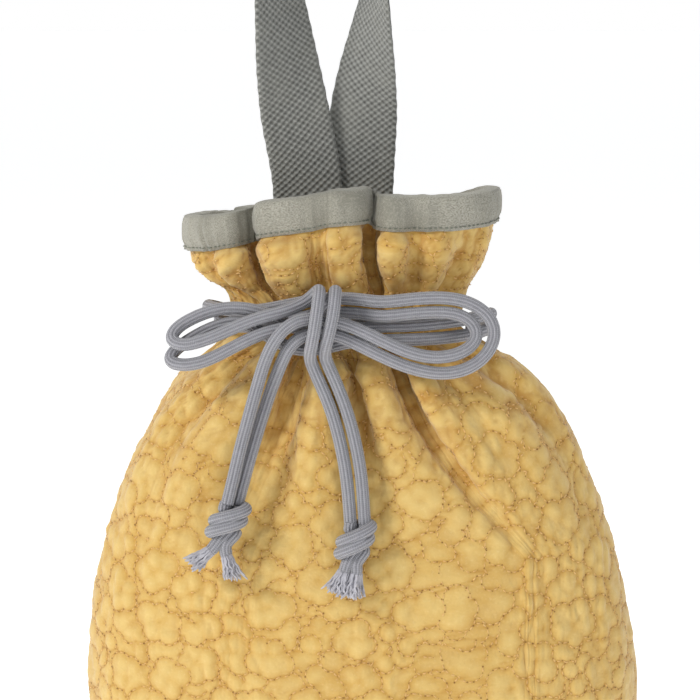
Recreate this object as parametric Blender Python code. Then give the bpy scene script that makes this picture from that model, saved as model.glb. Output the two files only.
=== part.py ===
"""Kinchaku drawstring pouch of quilted cotton: two panels, a bound mouth, a cord casing,
two drawstrings tied in a double bow and one webbing handle.

Metres, +Z up. The origin is the middle of the base, the front faces -Y and +X is to the right.
"""

import math

import bpy
import numpy as np

FLAT_WIDTH = 0.280
WALL = 0.0035
FOLDED_WALL = 0.0055
FOLD_SIDE_WALL = 0.0036
SEAM_GAP = 0.0003
CLEARANCE = 0.0003
TAPE_SEAT = 0.0022

CORD_DIAMETER = 0.0053
CORD_SIDES_RESOLUTION = 2

CASING_BOTTOM = 0.231
CASING_TOP = 0.260
CASING_MIDDLE = 0.5 * (CASING_BOTTOM + CASING_TOP)
CASING_TAPE = 0.0010
GATHERED_WALL = 0.0105
WALL_TO_CORD = 0.00075
CORD_TO_TAPE = 0.00105
EXIT_WIDTH = 0.0180
RUN_INSET = GATHERED_WALL + WALL_TO_CORD + 0.5 * CORD_DIAMETER
TAPE_INSET = RUN_INSET + 0.5 * CORD_DIAMETER + CORD_TO_TAPE
RUN_HEIGHTS = (0.2490, 0.2425)

BINDING_HEIGHT = 0.014
BINDING_CLOTH = 0.0009
BINDING_SEAT = 0.0005

STRAP_WIDTH = 0.030
STRAP_THICKNESS = 0.0022

ROUNDNESS = 2.3
COLUMNS = 88

# Outline of the pouch: height, left edge, right edge, front and back.
OUTLINE = (
    (0.000, -0.0990, 0.0990, -0.0370, 0.0370),
    (0.004, -0.1060, 0.1060, -0.0425, 0.0425),
    (0.016, -0.1150, 0.1150, -0.0480, 0.0480),
    (0.045, -0.1205, 0.1205, -0.0505, 0.0505),
    (0.085, -0.1210, 0.1210, -0.0505, 0.0505),
    (0.115, -0.1198, 0.1168, -0.0500, 0.0500),
    (0.155, -0.1114, 0.1068, -0.0485, 0.0480),
    (0.181, -0.1028, 0.0972, -0.0465, 0.0455),
    (0.202, -0.0920, 0.0880, -0.0430, 0.0420),
    (0.221, -0.0795, 0.0740, -0.0385, 0.0375),
    (0.234, -0.0650, 0.0560, -0.0335, 0.0325),
    (0.243, -0.0576, 0.0434, -0.0310, 0.0300),
    (0.256, -0.0585, 0.0445, -0.0310, 0.0300),
    (0.268, -0.0680, 0.0500, -0.0325, 0.0315),
    (0.282, -0.0745, 0.0550, -0.0345, 0.0330),
    (0.302, -0.0760, 0.0572, -0.0355, 0.0340),
)

# Height of the rim round the mouth, by its place round the pouch: 0 is the left seam and
# 0.25 the middle of the front.
RIM = (
    (0.00, 0.2900),
    (0.06, 0.2915),
    (0.13, 0.2950),
    (0.17, 0.2955),
    (0.23, 0.3005),
    (0.30, 0.3035),
    (0.36, 0.3010),
    (0.44, 0.3005),
    (0.50, 0.3020),
    (0.58, 0.2960),
    (0.75, 0.2940),
    (0.92, 0.2900),
)
RIM_NOMINAL = 0.302

# Each fold of the gathered cloth: its place round the pouch, its half width as cut, and at
# each of FOLD_HEIGHTS where it lies across the pouch and how deep it is. LEAN is how far the
# ridge beside it laps over it, as a share of its depth.
FOLD_HEIGHTS = (0.150, 0.190, 0.211, 0.232, 0.243, 0.256, 0.275, 0.297)
FOLDS = (
    dict(at=0.064, half=0.025, lean=0.3,
         across=(-95, -84, -70, -52, -46, -50, -62, -66),
         deep=(0, 2, 4, 5, 5, 4, 3, 0)),
    dict(at=0.150, half=0.055, lean=0.7,
         across=(-55, -41, -34, -28, -31, -39, -46, -50),
         deep=(0, 5, 9, 9, 6, 7, 11, 15)),
    dict(at=0.250, half=0.032, lean=0.6,
         across=(8, 3, 0, -5, -12, -15, -18, -19),
         deep=(0, 3, 6, 7, 5, 5, 4, 2)),
    dict(at=0.340, half=0.055, lean=0.6,
         across=(70, 36, 23, 14, 11, 9, 4, 5),
         deep=(0, 5, 9, 10, 6, 7, 11, 15)),
    dict(at=0.417, half=0.019, lean=0.0,
         across=(86, 60, 45, 29, 24, 22, 22, 22),
         deep=(0, 1, 3, 5, 5, 5, 6, 3)),
    dict(at=0.456, half=0.016, lean=0.0,
         across=(99, 86, 72, 48, 35, 35, 41, 44),
         deep=(0, 2, 3, 4, 4, 4, 3, 0)),
    dict(at=0.545, half=0.020, lean=0.0,
         across=(96, 84, 70, 47, 36, 37, 45, 48),
         deep=(0, 2, 3, 4, 4, 4, 2, 0)),
    dict(at=0.615, half=0.045, lean=0.3,
         across=(62, 47, 38, 27, 25, 26, 28, 29),
         deep=(0, 4, 8, 8, 5, 6, 11, 14)),
    dict(at=0.715, half=0.030, lean=0.0,
         across=(14, 8, 5, 3, 2, 2, 2, 2),
         deep=(0, 3, 6, 7, 5, 4, 0, 0)),
    dict(at=0.785, half=0.025, lean=0.0,
         across=(-30, -23, -19, -17, -16, -16, -17, -18),
         deep=(0, 2, 5, 6, 5, 3, 0, 0)),
    dict(at=0.870, half=0.045, lean=0.3,
         across=(-76, -60, -51, -40, -38, -46, -56, -60),
         deep=(0, 4, 8, 8, 5, 6, 8, 8)),
    dict(at=0.945, half=0.020, lean=0.0,
         across=(-98, -86, -73, -56, -50, -53, -65, -69),
         deep=(0, 2, 3, 4, 4, 4, 2, 0)),
)
FOLD_OPENING = 0.0100
LAP_SHARE = 0.12
MM = 0.001
FINE_SAMPLES = 560
SOFTEN_SAMPLES = 7

BINDING_ROW = RIM_NOMINAL - BINDING_HEIGHT
PANEL_TOP = RIM_NOMINAL - BINDING_CLOTH - CLEARANCE
NECK_BELOW = (0.212, 0.2245)
NECK_ABOVE = (0.2645, 0.2740)
# Rows of each panel from the bottom seam up: height, and for the flat base the share of its depth.
PANEL_ROWS = (
    (0.000, 0.0), (0.000, 0.5), (0.000, 1.0), (0.004, 1.0), (0.016, 1.0), (0.045, 1.0), (0.085, 1.0),
    (0.120, 1.0), (0.148, 1.0), (0.168, 1.0), (0.184, 1.0), (0.198, 1.0), (0.210, 1.0), (0.2185, 1.0),
    (0.2265, 1.0), (0.2315, 1.0), (0.2360, 1.0), (RUN_HEIGHTS[1], 1.0), (RUN_HEIGHTS[0], 1.0), (0.2545, 1.0),
    (0.2595, 1.0), (0.2640, 1.0), (0.2690, 1.0), (0.2740, 1.0), (0.2810, 1.0), (BINDING_ROW, 1.0),
    (PANEL_TOP, 1.0),
)
# Rows of each casing tape: height, the height whose outline it follows, and how far inside that it lies.
TAPE_ROWS = (
    (CASING_BOTTOM - 0.003, CASING_BOTTOM - 0.003, GATHERED_WALL + TAPE_SEAT),
    (CASING_BOTTOM + 0.004, CASING_MIDDLE, TAPE_INSET),
    (CASING_MIDDLE, CASING_MIDDLE, TAPE_INSET),
    (CASING_TOP - 0.004, CASING_MIDDLE, TAPE_INSET),
    (CASING_TOP + 0.003, CASING_TOP + 0.003, GATHERED_WALL + TAPE_SEAT),
)
TAPE_COLUMNS = 26
BASE_SEAM_SHARE = 0.94
RUN_TURN = 42
RUN_POINTS = 22
# Way in from a side seam: how far in from the outline, and how far from the seam, for each cord end.
RUN_WAY_IN = ((0.0020, 0.0032), (0.0070, 0.0032), (0.0130, 0.0036), (0.0190, 0.0054))
CORD_SPACING = 0.0085
KNOT_FLATNESS = 0.9
STRAP_COLUMNS = 4

# Routes of the four free strands, in millimetres: out of a side seam, across the front behind
# the knot, round the far loop of the bow, back through the knot and down to the tail's own knot.
STRANDS = {
    "left_upper_strand": (
        (-58.4, 3.2, 249), (-63, 2.4, 250.4), (-66.5, -4, 252), (-65, -14, 252.6), (-57, -24.6, 252.6),
        (-44, -32.4, 253.4), (-30, -35.4, 256.4), (-16, -35.8, 258.8), (-4, -38, 259), (7, -41, 258),
        (20, -42, 259.5), (33, -42.5, 260), (43.4, -43, 258), (51.2, -44, 252.5), (53.7, -45, 246),
        (51.2, -46, 238.4), (43.4, -47.5, 231.8), (32.7, -48.5, 229.4), (19.8, -48.5, 231.4), (9, -48, 235.6),
        (-1.7, -47.5, 240.8), (-10, -47, 244.6), (-19, -47.2, 246.2), (-26.2, -50, 245), (-31, -50.4, 240.7),
        (-34.4, -49, 233), (-38.3, -46.8, 222.8), (-42.3, -48, 210.7), (-46.2, -49.6, 197.9), (-49.8, -51, 185),
        (-52.4, -51.9, 175.4),
    ),
    "left_lower_strand": (
        (-59, -3.2, 249), (-62.2, -5, 248.4), (-60.8, -11.4, 245.8), (-57.3, -18.6, 245.2), (-50.2, -26.6, 245.9),
        (-40, -32.4, 247.4), (-28, -35.2, 250.4), (-16, -35.6, 252.8), (-4, -37.6, 253), (7, -41, 252),
        (20, -42, 253.4), (33, -42.5, 254), (40, -43, 252.8), (44.9, -44, 249.6), (46.8, -45, 245.2),
        (44.6, -46, 240.8), (38.4, -47.5, 237.4), (29, -48.5, 236), (18, -48.5, 238.2), (7.5, -48, 242.8),
        (-1.7, -47.8, 247.2), (-10, -48.2, 250.6), (-19.5, -49.6, 252.2), (-26, -51, 252.2), (-32, -53, 249.4),
        (-36.8, -53, 243.6), (-40.4, -52, 236), (-43.8, -51.6, 225), (-47.3, -52.4, 212.4), (-50.8, -53.6, 199.5),
        (-54, -55, 186), (-56.3, -56.2, 176.6),
    ),
    "right_upper_strand": (
        (44.6, 3.2, 242.5), (49.6, 2.8, 244.6), (54.2, -2.5, 248), (53, -13, 249.4), (46, -25, 249.4),
        (34, -33.6, 248.6), (20, -35.6, 247.6), (5, -36, 247.2), (-10, -36, 247), (-21, -37.6, 245.4),
        (-30, -40.2, 247.7), (-39, -41, 252.8), (-50, -41, 255.6), (-60, -41, 255.2), (-70, -41.5, 251.8),
        (-77.5, -43, 247.5), (-80.4, -45.8, 243.2), (-75.5, -48.3, 240.9), (-64, -48.6, 243.9),
        (-53.3, -47.8, 248.4), (-43, -47.2, 252.4), (-34, -46.6, 254.6), (-26.4, -44, 257.2), (-20.8, -42.4, 261),
        (-18.4, -46.5, 264.6), (-18.6, -52.8, 262), (-19.6, -55.8, 254), (-21, -55.6, 245), (-22.2, -52.4, 239.2),
        (-22.6, -47, 235.6), (-20.6, -45.2, 230), (-17, -46, 222), (-13.4, -47.5, 213), (-10.3, -49.5, 202),
        (-7.9, -51.5, 190), (-6.6, -53.2, 179), (-5.8, -54.2, 167.8),
    ),
    "right_lower_strand": (
        (44.6, -3.2, 242.5), (49, -5.6, 242.7), (52, -11, 243), (50, -19.8, 243), (42.5, -29, 242.7),
        (29.5, -35, 242), (12, -36.2, 241.5), (-5, -36, 241), (-20, -36.6, 237.6), (-31, -38.6, 238.6),
        (-41, -40.6, 244.6), (-50, -40.8, 249.8), (-60, -40.4, 248.4), (-70, -41.2, 243.8), (-79, -43, 237.6),
        (-81.2, -46, 234.2), (-75, -48.4, 232.8), (-66, -49, 234.4), (-56, -48.4, 239.2), (-46, -47.6, 244.2),
        (-37.4, -47.1, 247.2), (-31, -46.8, 248.2), (-25, -44.4, 249.8), (-19, -42.4, 254), (-13, -42.6, 259.8),
        (-11.8, -46.5, 264.5), (-12, -52.4, 262), (-12.9, -54.8, 254), (-14.8, -54.4, 246), (-16.2, -52, 240),
        (-16.6, -47, 236.6), (-13.8, -45.6, 230), (-10, -46, 221), (-6.4, -47.8, 211), (-3.6, -49.8, 200),
        (-1.6, -51.8, 189), (-0.6, -53.4, 178), (0, -54.2, 167.8),
    ),
}

# Each tail knot: its top, its middle, where it narrows and the end of the tuft, in millimetres.
LEFT_TAIL_KNOT = ((-54.2, -54.2, 174.9), (-56.2, -55.8, 167.5), (-59.4, -56.4, 158.0), (-63.2, -56.4, 147.0))
RIGHT_TAIL_KNOT = ((-2.8, -54.6, 167.0), (-2.4, -56.0, 159.4), (-5.4, -56.2, 150.0), (-9.0, -56.2, 136.0))

# Middle line of the handle in millimetres, and the turn of its width in degrees.
STRAP_ROUTE = (
    (-24.0, 16.2, 276, 0), (-24.0, 16.2, 285, 0), (-24.8, 16.2, 305, 6), (-30.0, 14.0, 335, 26),
    (-34.0, 8.0, 365, 42), (-36.0, 5.0, 395, 56), (-30.0, 3.0, 422, 70), (-12.0, 3.0, 437, 80),
    (3.0, 6.0, 424, 90), (5.5, 10.0, 395, 100), (3.0, 15.0, 365, 120), (0.0, 20.0, 335, 145),
    (-2.0, 19.8, 305, 171), (-2.6, 20.0, 285, 180), (-2.6, 20.0, 276, 180),
)


def smooth_steps(x, knots, values):
    """Monotone cubic interpolation through knots, which never overshoots a value."""
    knots = np.asarray(knots, float)
    values = np.asarray(values, float)
    spans = np.diff(knots)
    slopes = np.diff(values) / spans
    tangents = np.zeros_like(values)
    same_way = slopes[:-1] * slopes[1:] > 0
    before = 2 * spans[1:] + spans[:-1]
    after = spans[1:] + 2 * spans[:-1]
    low = np.where(same_way, slopes[:-1], 1.0)
    high = np.where(same_way, slopes[1:], 1.0)
    harmonic = (before + after) * low * high / (before * high + after * low)
    tangents[1:-1] = np.where(same_way, harmonic, 0.0)
    tangents[0] = slopes[0]
    tangents[-1] = slopes[-1]
    x = np.clip(np.asarray(x, float), knots[0], knots[-1])
    i = np.clip(np.searchsorted(knots, x, side="right") - 1, 0, len(spans) - 1)
    h = spans[i]
    t = (x - knots[i]) / h
    return (
        values[i] * (1 + 2 * t) * (1 - t) ** 2
        + tangents[i] * h * t * (1 - t) ** 2
        + values[i + 1] * t * t * (3 - 2 * t)
        + tangents[i + 1] * h * t * t * (t - 1)
    )


def outline_at(height):
    """Left, right, front and back of the pouch at a height."""
    rows = np.array(OUTLINE)
    return [float(smooth_steps(height, rows[:, 0], rows[:, side])) for side in range(1, 5)]


def rim_height(around):
    """Height of the rim at places round the pouch."""
    rows = np.array(RIM + ((1.0 + RIM[0][0], RIM[0][1]),))
    return smooth_steps(np.mod(around, 1.0), rows[:, 0], rows[:, 1])


def curve_point(angle, height, inset=0.0):
    """Point of the plain outline, with no folds. Angle 0 is the left seam, 90 degrees the front."""
    left, right, front, back = outline_at(height)
    middle = 0.5 * (left + right)
    half = 0.5 * (right - left) - inset
    swing = np.sin(angle)
    depth = np.where(swing > 0, -front - inset, back - inset)
    power = 2 / ROUNDNESS
    x = middle - half * np.sign(np.cos(angle)) * np.abs(np.cos(angle)) ** power
    y = -depth * np.sign(swing) * np.abs(swing) ** power
    return np.stack([x, y], axis=-1)


def angle_of(across, height, is_front):
    """Angle at which the plain outline passes the place across the pouch."""
    left, right, _, _ = outline_at(height)
    share = np.clip((across - 0.5 * (left + right)) / (0.5 * (right - left)), -0.985, 0.985)
    angle = math.acos(-np.sign(share) * abs(share) ** (ROUNDNESS / 2))
    return angle if is_front else 2 * math.pi - angle


def folds_at(height):
    """Every fold's angle, depth and half opening at a height."""
    found = []
    for fold in FOLDS:
        across = float(smooth_steps(height, FOLD_HEIGHTS, np.array(fold["across"]) * MM))
        depth = float(smooth_steps(height, FOLD_HEIGHTS, np.array(fold["deep"]) * MM))
        fade = np.clip((height - 0.110) / (FOLD_HEIGHTS[0] - 0.110), 0, 1)
        found.append([angle_of(across, height, fold["at"] < 0.5), depth * fade, 0.0])
    for i, fold in enumerate(FOLDS):
        cut = fold["half"] * 2 * FLAT_WIDTH
        opening = math.sqrt(max(cut**2 - (1.15 * found[i][1]) ** 2, FOLD_OPENING**2))
        here = curve_point(np.array(found[i][0]), height)
        near = [0.0 if i == 0 else found[i - 1][0], 2 * math.pi if i == len(FOLDS) - 1 else found[i + 1][0]]
        room = min(np.linalg.norm(curve_point(np.array(angle), height) - here) for angle in near)
        found[i][2] = min(opening, 0.43 * room)
    return found


def place_round(around, height, folds):
    """Angle on the plain outline of each place round the cloth."""
    anchors = [(0.0, 0.0), (0.5, math.pi), (1.0, 2 * math.pi)]
    for fold, (angle, _, opening) in zip(FOLDS, folds):
        step = 1e-4
        pair = curve_point(np.array([angle - step, angle + step]), height)
        spread = opening * 2 * step / np.linalg.norm(pair[1] - pair[0])
        anchors += [(fold["at"] + side * fold["half"], angle + side * spread) for side in (-1, 0, 1)]
    anchors.sort()
    return smooth_steps(around, [place for place, _ in anchors], [angle for _, angle in anchors])


def exit_edge(height):
    """Half of the gap between the two panels at a side seam: wide only where the cords come out."""
    half = 0.5 * (CASING_TOP - CASING_BOTTOM)
    share = np.clip(1 - ((height - CASING_MIDDLE) / half) ** 2, 0, 1) ** 0.5
    return 0.5 * SEAM_GAP + (0.5 * EXIT_WIDTH - 0.5 * SEAM_GAP) * share


def keep_off_seams(around, angle, height):
    """Angles of one panel, closed up so that its side edges stop at the seam gap."""
    _, _, front, back = outline_at(height)
    depth = -front if around[len(around) // 2] < 0.5 else back
    edge = math.asin((exit_edge(height) / depth) ** (ROUNDNESS / 2))
    start = 0.0 if around[len(around) // 2] < 0.5 else math.pi
    return start + edge + (angle - start) * (1 - 2 * edge / math.pi)


def soften(points):
    """Rounds a finely sampled curve, as thick cloth does, and keeps its ends where they are."""
    reach = 3 * SOFTEN_SAMPLES
    kernel = np.exp(-0.5 * (np.arange(-reach, reach + 1) / SOFTEN_SAMPLES) ** 2)
    kernel /= kernel.sum()
    before = 2 * points[0] - points[reach:0:-1]
    after = 2 * points[-1] - points[-2 : -reach - 2 : -1]
    padded = np.concatenate([before, points, after])
    return np.column_stack([np.convolve(padded[:, axis], kernel, "valid") for axis in range(points.shape[1])])


def wall_at(height):
    """How far the inner face lies inside the outline, and the share of each fold it follows."""
    folded = smooth_steps(height, (0.150, 0.200), (WALL, FOLDED_WALL))
    packed = min(smooth_steps(height, NECK_BELOW, (0, 1)), smooth_steps(height, NECK_ABOVE, (1, 0)))
    return float(folded + packed * (GATHERED_WALL - folded)), float(1 - packed)


def section(around, height):
    """One panel's outer and inner face at a height."""
    start = 0.0 if around[len(around) // 2] < 0.5 else 0.5
    side = -1.0 if start == 0 else 1.0
    fine = np.linspace(start, start + 0.5, FINE_SAMPLES // 2 + 1)
    folds = folds_at(height)
    angle = keep_off_seams(fine, place_round(fine, height, folds), height)
    step = 1e-3
    ahead = curve_point(angle + step, height) - curve_point(angle - step, height)
    ahead /= np.linalg.norm(ahead, axis=-1, keepdims=True)
    inward = np.stack([-ahead[:, 1], ahead[:, 0]], axis=-1)
    moved = np.zeros_like(ahead)
    moved_inside = np.zeros_like(ahead)
    for fold, (_, depth, opening) in zip(FOLDS, folds):
        t = (fine - fold["at"]) / fold["half"]
        narrower = opening / (opening + FOLD_SIDE_WALL)
        valley, valley_inside = ((1 - np.minimum(np.abs(s), 1) ** 2.6) ** 1.2 for s in (t, narrower * t))
        lap = np.exp(-(((t - 1.05) / 0.45) ** 2))
        tuck = np.exp(-(((t + 0.9) / 0.5) ** 2))
        lapped = min(fold["lean"] * depth, LAP_SHARE * opening)
        leaned = inward * (0.15 * lapped * tuck)[:, None] - ahead * (lapped * lap)[:, None]
        moved += leaned + inward * (depth * valley)[:, None]
        moved_inside += leaned + inward * (depth * valley_inside)[:, None]
    inset, followed = wall_at(height)
    outer = soften(curve_point(angle, height) + moved)
    inner = soften(curve_point(angle, height, inset) + followed * moved_inside)
    inner[:, 1] = side * np.maximum(side * inner[:, 1], exit_edge(height))
    return [
        np.column_stack([np.interp(around, fine, face[:, axis]) for axis in (0, 1)])
        for face in (outer, inner)
    ]


def column_places(start, end, count):
    """Places round the cloth, closer together across the deep folds."""
    fine = np.linspace(start, end, 2001)
    density = np.ones_like(fine)
    for fold in FOLDS:
        density += 0.14 * max(fold["deep"]) * np.exp(-(((fine - fold["at"]) / (1.2 * fold["half"])) ** 4))
    total = np.concatenate([[0], np.cumsum(0.5 * (density[1:] + density[:-1]))])
    return np.interp(np.linspace(0, total[-1], count), total, fine)


def panel_faces(around):
    """Grids of points on one panel's outer and inner face, rows from the bottom seam up to the rim."""
    side = -1.0 if around[len(around) // 2] < 0.5 else 1.0
    faces = ([], [])
    for height, share in PANEL_ROWS:
        parallel = smooth_steps(height, (CASING_TOP, BINDING_ROW), (0, 1))
        up = height + parallel * (rim_height(around) - RIM_NOMINAL)
        for rows, points, rise in zip(faces, section(around, height), (0.0, WALL)):
            if share < 1:
                points[:, 0] *= BASE_SEAM_SHARE + (1 - BASE_SEAM_SHARE) * share
                points[:, 1] = side * (0.5 * SEAM_GAP + share * (np.abs(points[:, 1]) - 0.5 * SEAM_GAP))
            lift = rise * smooth_steps(height, (0.0, 0.016), (1, 0))
            rows.append(np.column_stack([points, up + lift]))
    return np.array(faces[0]), np.array(faces[1])


def outward(row):
    """Level normals of a closed row of points that runs from left to right along the front.

    They are evened out between neighbours, so that an offset row doesn't cross itself in a fold."""
    along = np.roll(row, -1, axis=0) - np.roll(row, 1, axis=0)
    normal = np.column_stack([along[:, 1], -along[:, 0], np.zeros(len(row))])
    normal /= np.linalg.norm(normal, axis=-1, keepdims=True)
    for _ in range(3):
        normal = 0.5 * normal + 0.25 * (np.roll(normal, 1, axis=0) + np.roll(normal, -1, axis=0))
    return normal


def add_object(name, points, faces, material):
    mesh = bpy.data.meshes.new(name)
    mesh.from_pydata([tuple(p) for p in points], [], faces)
    mesh.validate()
    mesh.shade_smooth()
    mesh.set_sharp_from_angle(angle=math.radians(50))
    obj = bpy.data.objects.new(name, mesh)
    obj.data.materials.append(material)
    bpy.context.scene.collection.objects.link(obj)
    return obj


def grid_faces(rows, columns, first, is_flipped, is_ring=False):
    """Quads of a grid of points numbered from first, row by row."""
    faces = []
    for row in range(rows - 1):
        for column in range(columns if is_ring else columns - 1):
            after = (column + 1) % columns
            a = first + row * columns + column
            b = first + row * columns + after
            quad = (a, b, b + columns, a + columns)
            faces.append(quad[::-1] if is_flipped else quad)
    return faces


def two_faced_sheet(name, outer, inner, material):
    """Closed solid between two grids of the same size, the outer one seen from outside."""
    rows, columns = outer.shape[:2]
    count = rows * columns
    faces = grid_faces(rows, columns, 0, False) + grid_faces(rows, columns, count, True)
    rim = [c for c in range(columns)]
    rim += [r * columns + columns - 1 for r in range(1, rows)]
    rim += [(rows - 1) * columns + c for c in range(columns - 2, -1, -1)]
    rim += [r * columns for r in range(rows - 2, 0, -1)]
    for a, b in zip(rim, rim[1:] + rim[:1]):
        faces.append((b, a, a + count, b + count))
    points = np.concatenate([outer.reshape(-1, 3), inner.reshape(-1, 3)])
    return add_object(name, points, faces, material)


def panel(name, start, material):
    """One panel of the pouch. Returns its outer and inner face."""
    outer, inner = panel_faces(column_places(start, start + 0.5, COLUMNS // 2 + 1))
    two_faced_sheet(name, outer, inner, material)
    return outer, inner


def top_rings(front, back):
    """The two top rows of both panels as closed rings, met in the middle at the side seams."""
    rings = np.concatenate([front[-2:, :-1], back[-2:, :-1]], axis=1)
    for column, other in ((0, back[-2:, -1]), (front.shape[1] - 1, front[-2:, -1])):
        rings[:, column] = 0.5 * (rings[:, column] + other)
    return rings


def mouth_binding(front, back, material):
    """Strip folded over both panels' top edges: down the outside, over the rim and down the inside."""
    low, top = top_rings(front[0], back[0])
    low_in, top_in = top_rings(front[1], back[1])
    near = BINDING_SEAT
    far = BINDING_SEAT + BINDING_CLOTH
    over = np.array([0, 0, CLEARANCE])
    rim = np.array([0, 0, CLEARANCE + BINDING_CLOTH])
    profile = [
        low + far * outward(low),
        top + far * outward(top) + over,
        0.8 * top + 0.2 * top_in + rim,
        0.2 * top + 0.8 * top_in + rim,
        top_in - far * outward(top_in) + over,
        low_in - far * outward(low_in),
        low_in - near * outward(low_in),
        top_in - near * outward(top_in) + over,
        top + near * outward(top) + over,
        low + near * outward(low),
    ]
    rows = len(profile)
    columns = len(low)
    faces = grid_faces(rows, columns, 0, False, True)
    for column in range(columns):
        after = (column + 1) % columns
        faces.append(((rows - 1) * columns + column, (rows - 1) * columns + after, after, column))
    return add_object("mouth_binding", np.concatenate(profile), faces, material)


def casing_tape(name, start, material):
    """Inner tape of the cord tunnel, sewn to the wall above and below the cords."""
    faces = []
    for depth in (0.0, CASING_TAPE):
        rows = []
        for height, followed, inset in TAPE_ROWS:
            _, _, front, back = outline_at(followed)
            open_half = exit_edge(height) + CLEARANCE
            edge = math.asin((open_half / (min(-front, back) - inset - depth)) ** (ROUNDNESS / 2))
            angle = np.linspace(start + edge, start + math.pi - edge, TAPE_COLUMNS)
            points = curve_point(angle, followed, inset + depth)
            rows.append(np.column_stack([points, np.full(TAPE_COLUMNS, height)]))
        faces.append(np.array(rows))
    return two_faced_sheet(name, faces[0], faces[1], material)


def smooth_route(points, spacing):
    """Evenly spaced points on one smooth curve through a route's own points."""
    route = np.array(points, float)
    steps = np.linalg.norm(np.diff(route, axis=0), axis=1) ** 0.5
    knots = np.concatenate([[0], np.cumsum(steps)])
    ends = np.vstack([2 * route[0] - route[1], route, 2 * route[-1] - route[-2]])
    marks = np.concatenate([[-steps[0]], knots, [knots[-1] + steps[-1]]])
    slopes = np.diff(ends, axis=0) / np.diff(marks)[:, None]
    spans = np.diff(marks)[:, None]
    tangents = (slopes[:-1] * spans[1:] + slopes[1:] * spans[:-1]) / (spans[1:] + spans[:-1])
    fine = []
    for i, step in enumerate(steps):
        t = np.linspace(0, 1, 25)[:-1, None]
        fine.append(
            route[i] * (1 + 2 * t) * (1 - t) ** 2
            + tangents[i] * step * t * (1 - t) ** 2
            + route[i + 1] * t * t * (3 - 2 * t)
            + tangents[i + 1] * step * t * t * (t - 1)
        )
    fine = np.vstack(fine + [route[-1:]])
    travel = np.concatenate([[0], np.cumsum(np.linalg.norm(np.diff(fine, axis=0), axis=1))])
    count = max(2, round(travel[-1] / spacing) + 1)
    even = np.linspace(0, travel[-1], count)
    return np.column_stack([np.interp(even, travel, fine[:, axis]) for axis in range(3)])


def cord_tube(name, points, material):
    curve = bpy.data.curves.new(name, "CURVE")
    curve.dimensions = "3D"
    curve.bevel_depth = 0.5 * CORD_DIAMETER
    curve.bevel_resolution = CORD_SIDES_RESOLUTION
    curve.use_fill_caps = True
    spline = curve.splines.new("POLY")
    spline.points.add(len(points) - 1)
    for point, place in zip(spline.points, points):
        point.co = (*place, 1)
    spline.use_smooth = True
    curve.materials.append(material)
    obj = bpy.data.objects.new(name, curve)
    bpy.context.scene.collection.objects.link(obj)
    return obj


def casing_route(side, height):
    """Route of one drawstring inside the casing: in at one side seam, round the neck, and out again.

    Side is -1 for the left seam and 1 for the right one."""
    left, right, _, _ = outline_at(height)
    edge = left if side < 0 else right
    start = 0.0 if side < 0 else math.pi
    angles = np.radians(np.linspace(RUN_TURN, 360 - RUN_TURN, RUN_POINTS)) + start
    ring = curve_point(angles, height, RUN_INSET)
    way_in = [(edge - side * inwards, side * aside) for inwards, aside in RUN_WAY_IN]
    way_out = [(x, -y) for x, y in reversed(way_in)]
    return [(x, y, height) for x, y in (*way_in, *ring, *way_out)]


def strand_route(route):
    return [(x * MM, y * MM, z * MM) for x, y, z in route]


def tail_knot(name, route, material):
    """Overhand knot at the end of a pair, as one lumpy body, with the two frayed ends below it."""
    top, middle, low, end = (np.array(point) * MM for point in route)
    centres = [top, 0.6 * top + 0.4 * middle, middle, 0.45 * middle + 0.55 * low, low, 0.5 * low + 0.5 * end, end]
    radii = np.array([5.6, 7.0, 7.4, 6.8, 4.2, 5.2, 6.2]) * MM
    columns = 12
    rings = []
    for i, (centre, radius) in enumerate(zip(centres, radii)):
        ahead = centres[min(i + 1, len(centres) - 1)] - centres[max(i - 1, 0)]
        ahead /= np.linalg.norm(ahead)
        across = np.cross(ahead, (0, -1, 0))
        across /= np.linalg.norm(across)
        out = np.cross(across, ahead)
        turn = np.linspace(0, 2 * math.pi, columns, endpoint=False)[:, None]
        rings.append(centre + radius * (np.cos(turn) * across + KNOT_FLATNESS * np.sin(turn) * out))
    faces = grid_faces(len(rings), columns, 0, True, True)
    faces.append(tuple(range(columns)))
    faces.append(tuple(range(len(rings) * columns - 1, (len(rings) - 1) * columns - 1, -1)))
    return add_object(name, np.concatenate(rings), faces, material)


def handle_strap(material):
    """One length of webbing: up from inside the back of the mouth, over, and down beside itself."""
    frames = []
    middles = smooth_route(strand_route([row[:3] for row in STRAP_ROUTE]), 0.007)
    travel = np.linspace(0, 1, len(middles))
    knots = np.linspace(0, 1, len(STRAP_ROUTE))
    turns = np.radians(smooth_steps(travel, knots, [row[3] for row in STRAP_ROUTE]))
    ahead = np.gradient(middles, axis=0)
    ahead /= np.linalg.norm(ahead, axis=1, keepdims=True)
    for middle, way, turn in zip(middles, ahead, turns):
        across = np.array([math.cos(turn), math.sin(turn), 0.0])
        across -= way * np.dot(across, way)
        across /= np.linalg.norm(across)
        through = np.cross(way, across)
        frames.append((middle, across, through))
    shares = np.linspace(-0.5 * STRAP_WIDTH, 0.5 * STRAP_WIDTH, STRAP_COLUMNS)
    middle, across, through = (np.array(part)[:, None] for part in zip(*frames))
    sheet = middle + shares[None, :, None] * across
    depth = 0.5 * STRAP_THICKNESS * through
    return two_faced_sheet("handle_strap", sheet - depth, sheet + depth, material)


def cloth(name, colour, roughness):
    material = bpy.data.materials.new(name)
    material.use_nodes = True
    shader = material.node_tree.nodes["Principled BSDF"]
    shader.inputs["Base Color"].default_value = (*colour, 1)
    shader.inputs["Roughness"].default_value = roughness
    shader.inputs["Metallic"].default_value = 0.0
    return material


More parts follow.
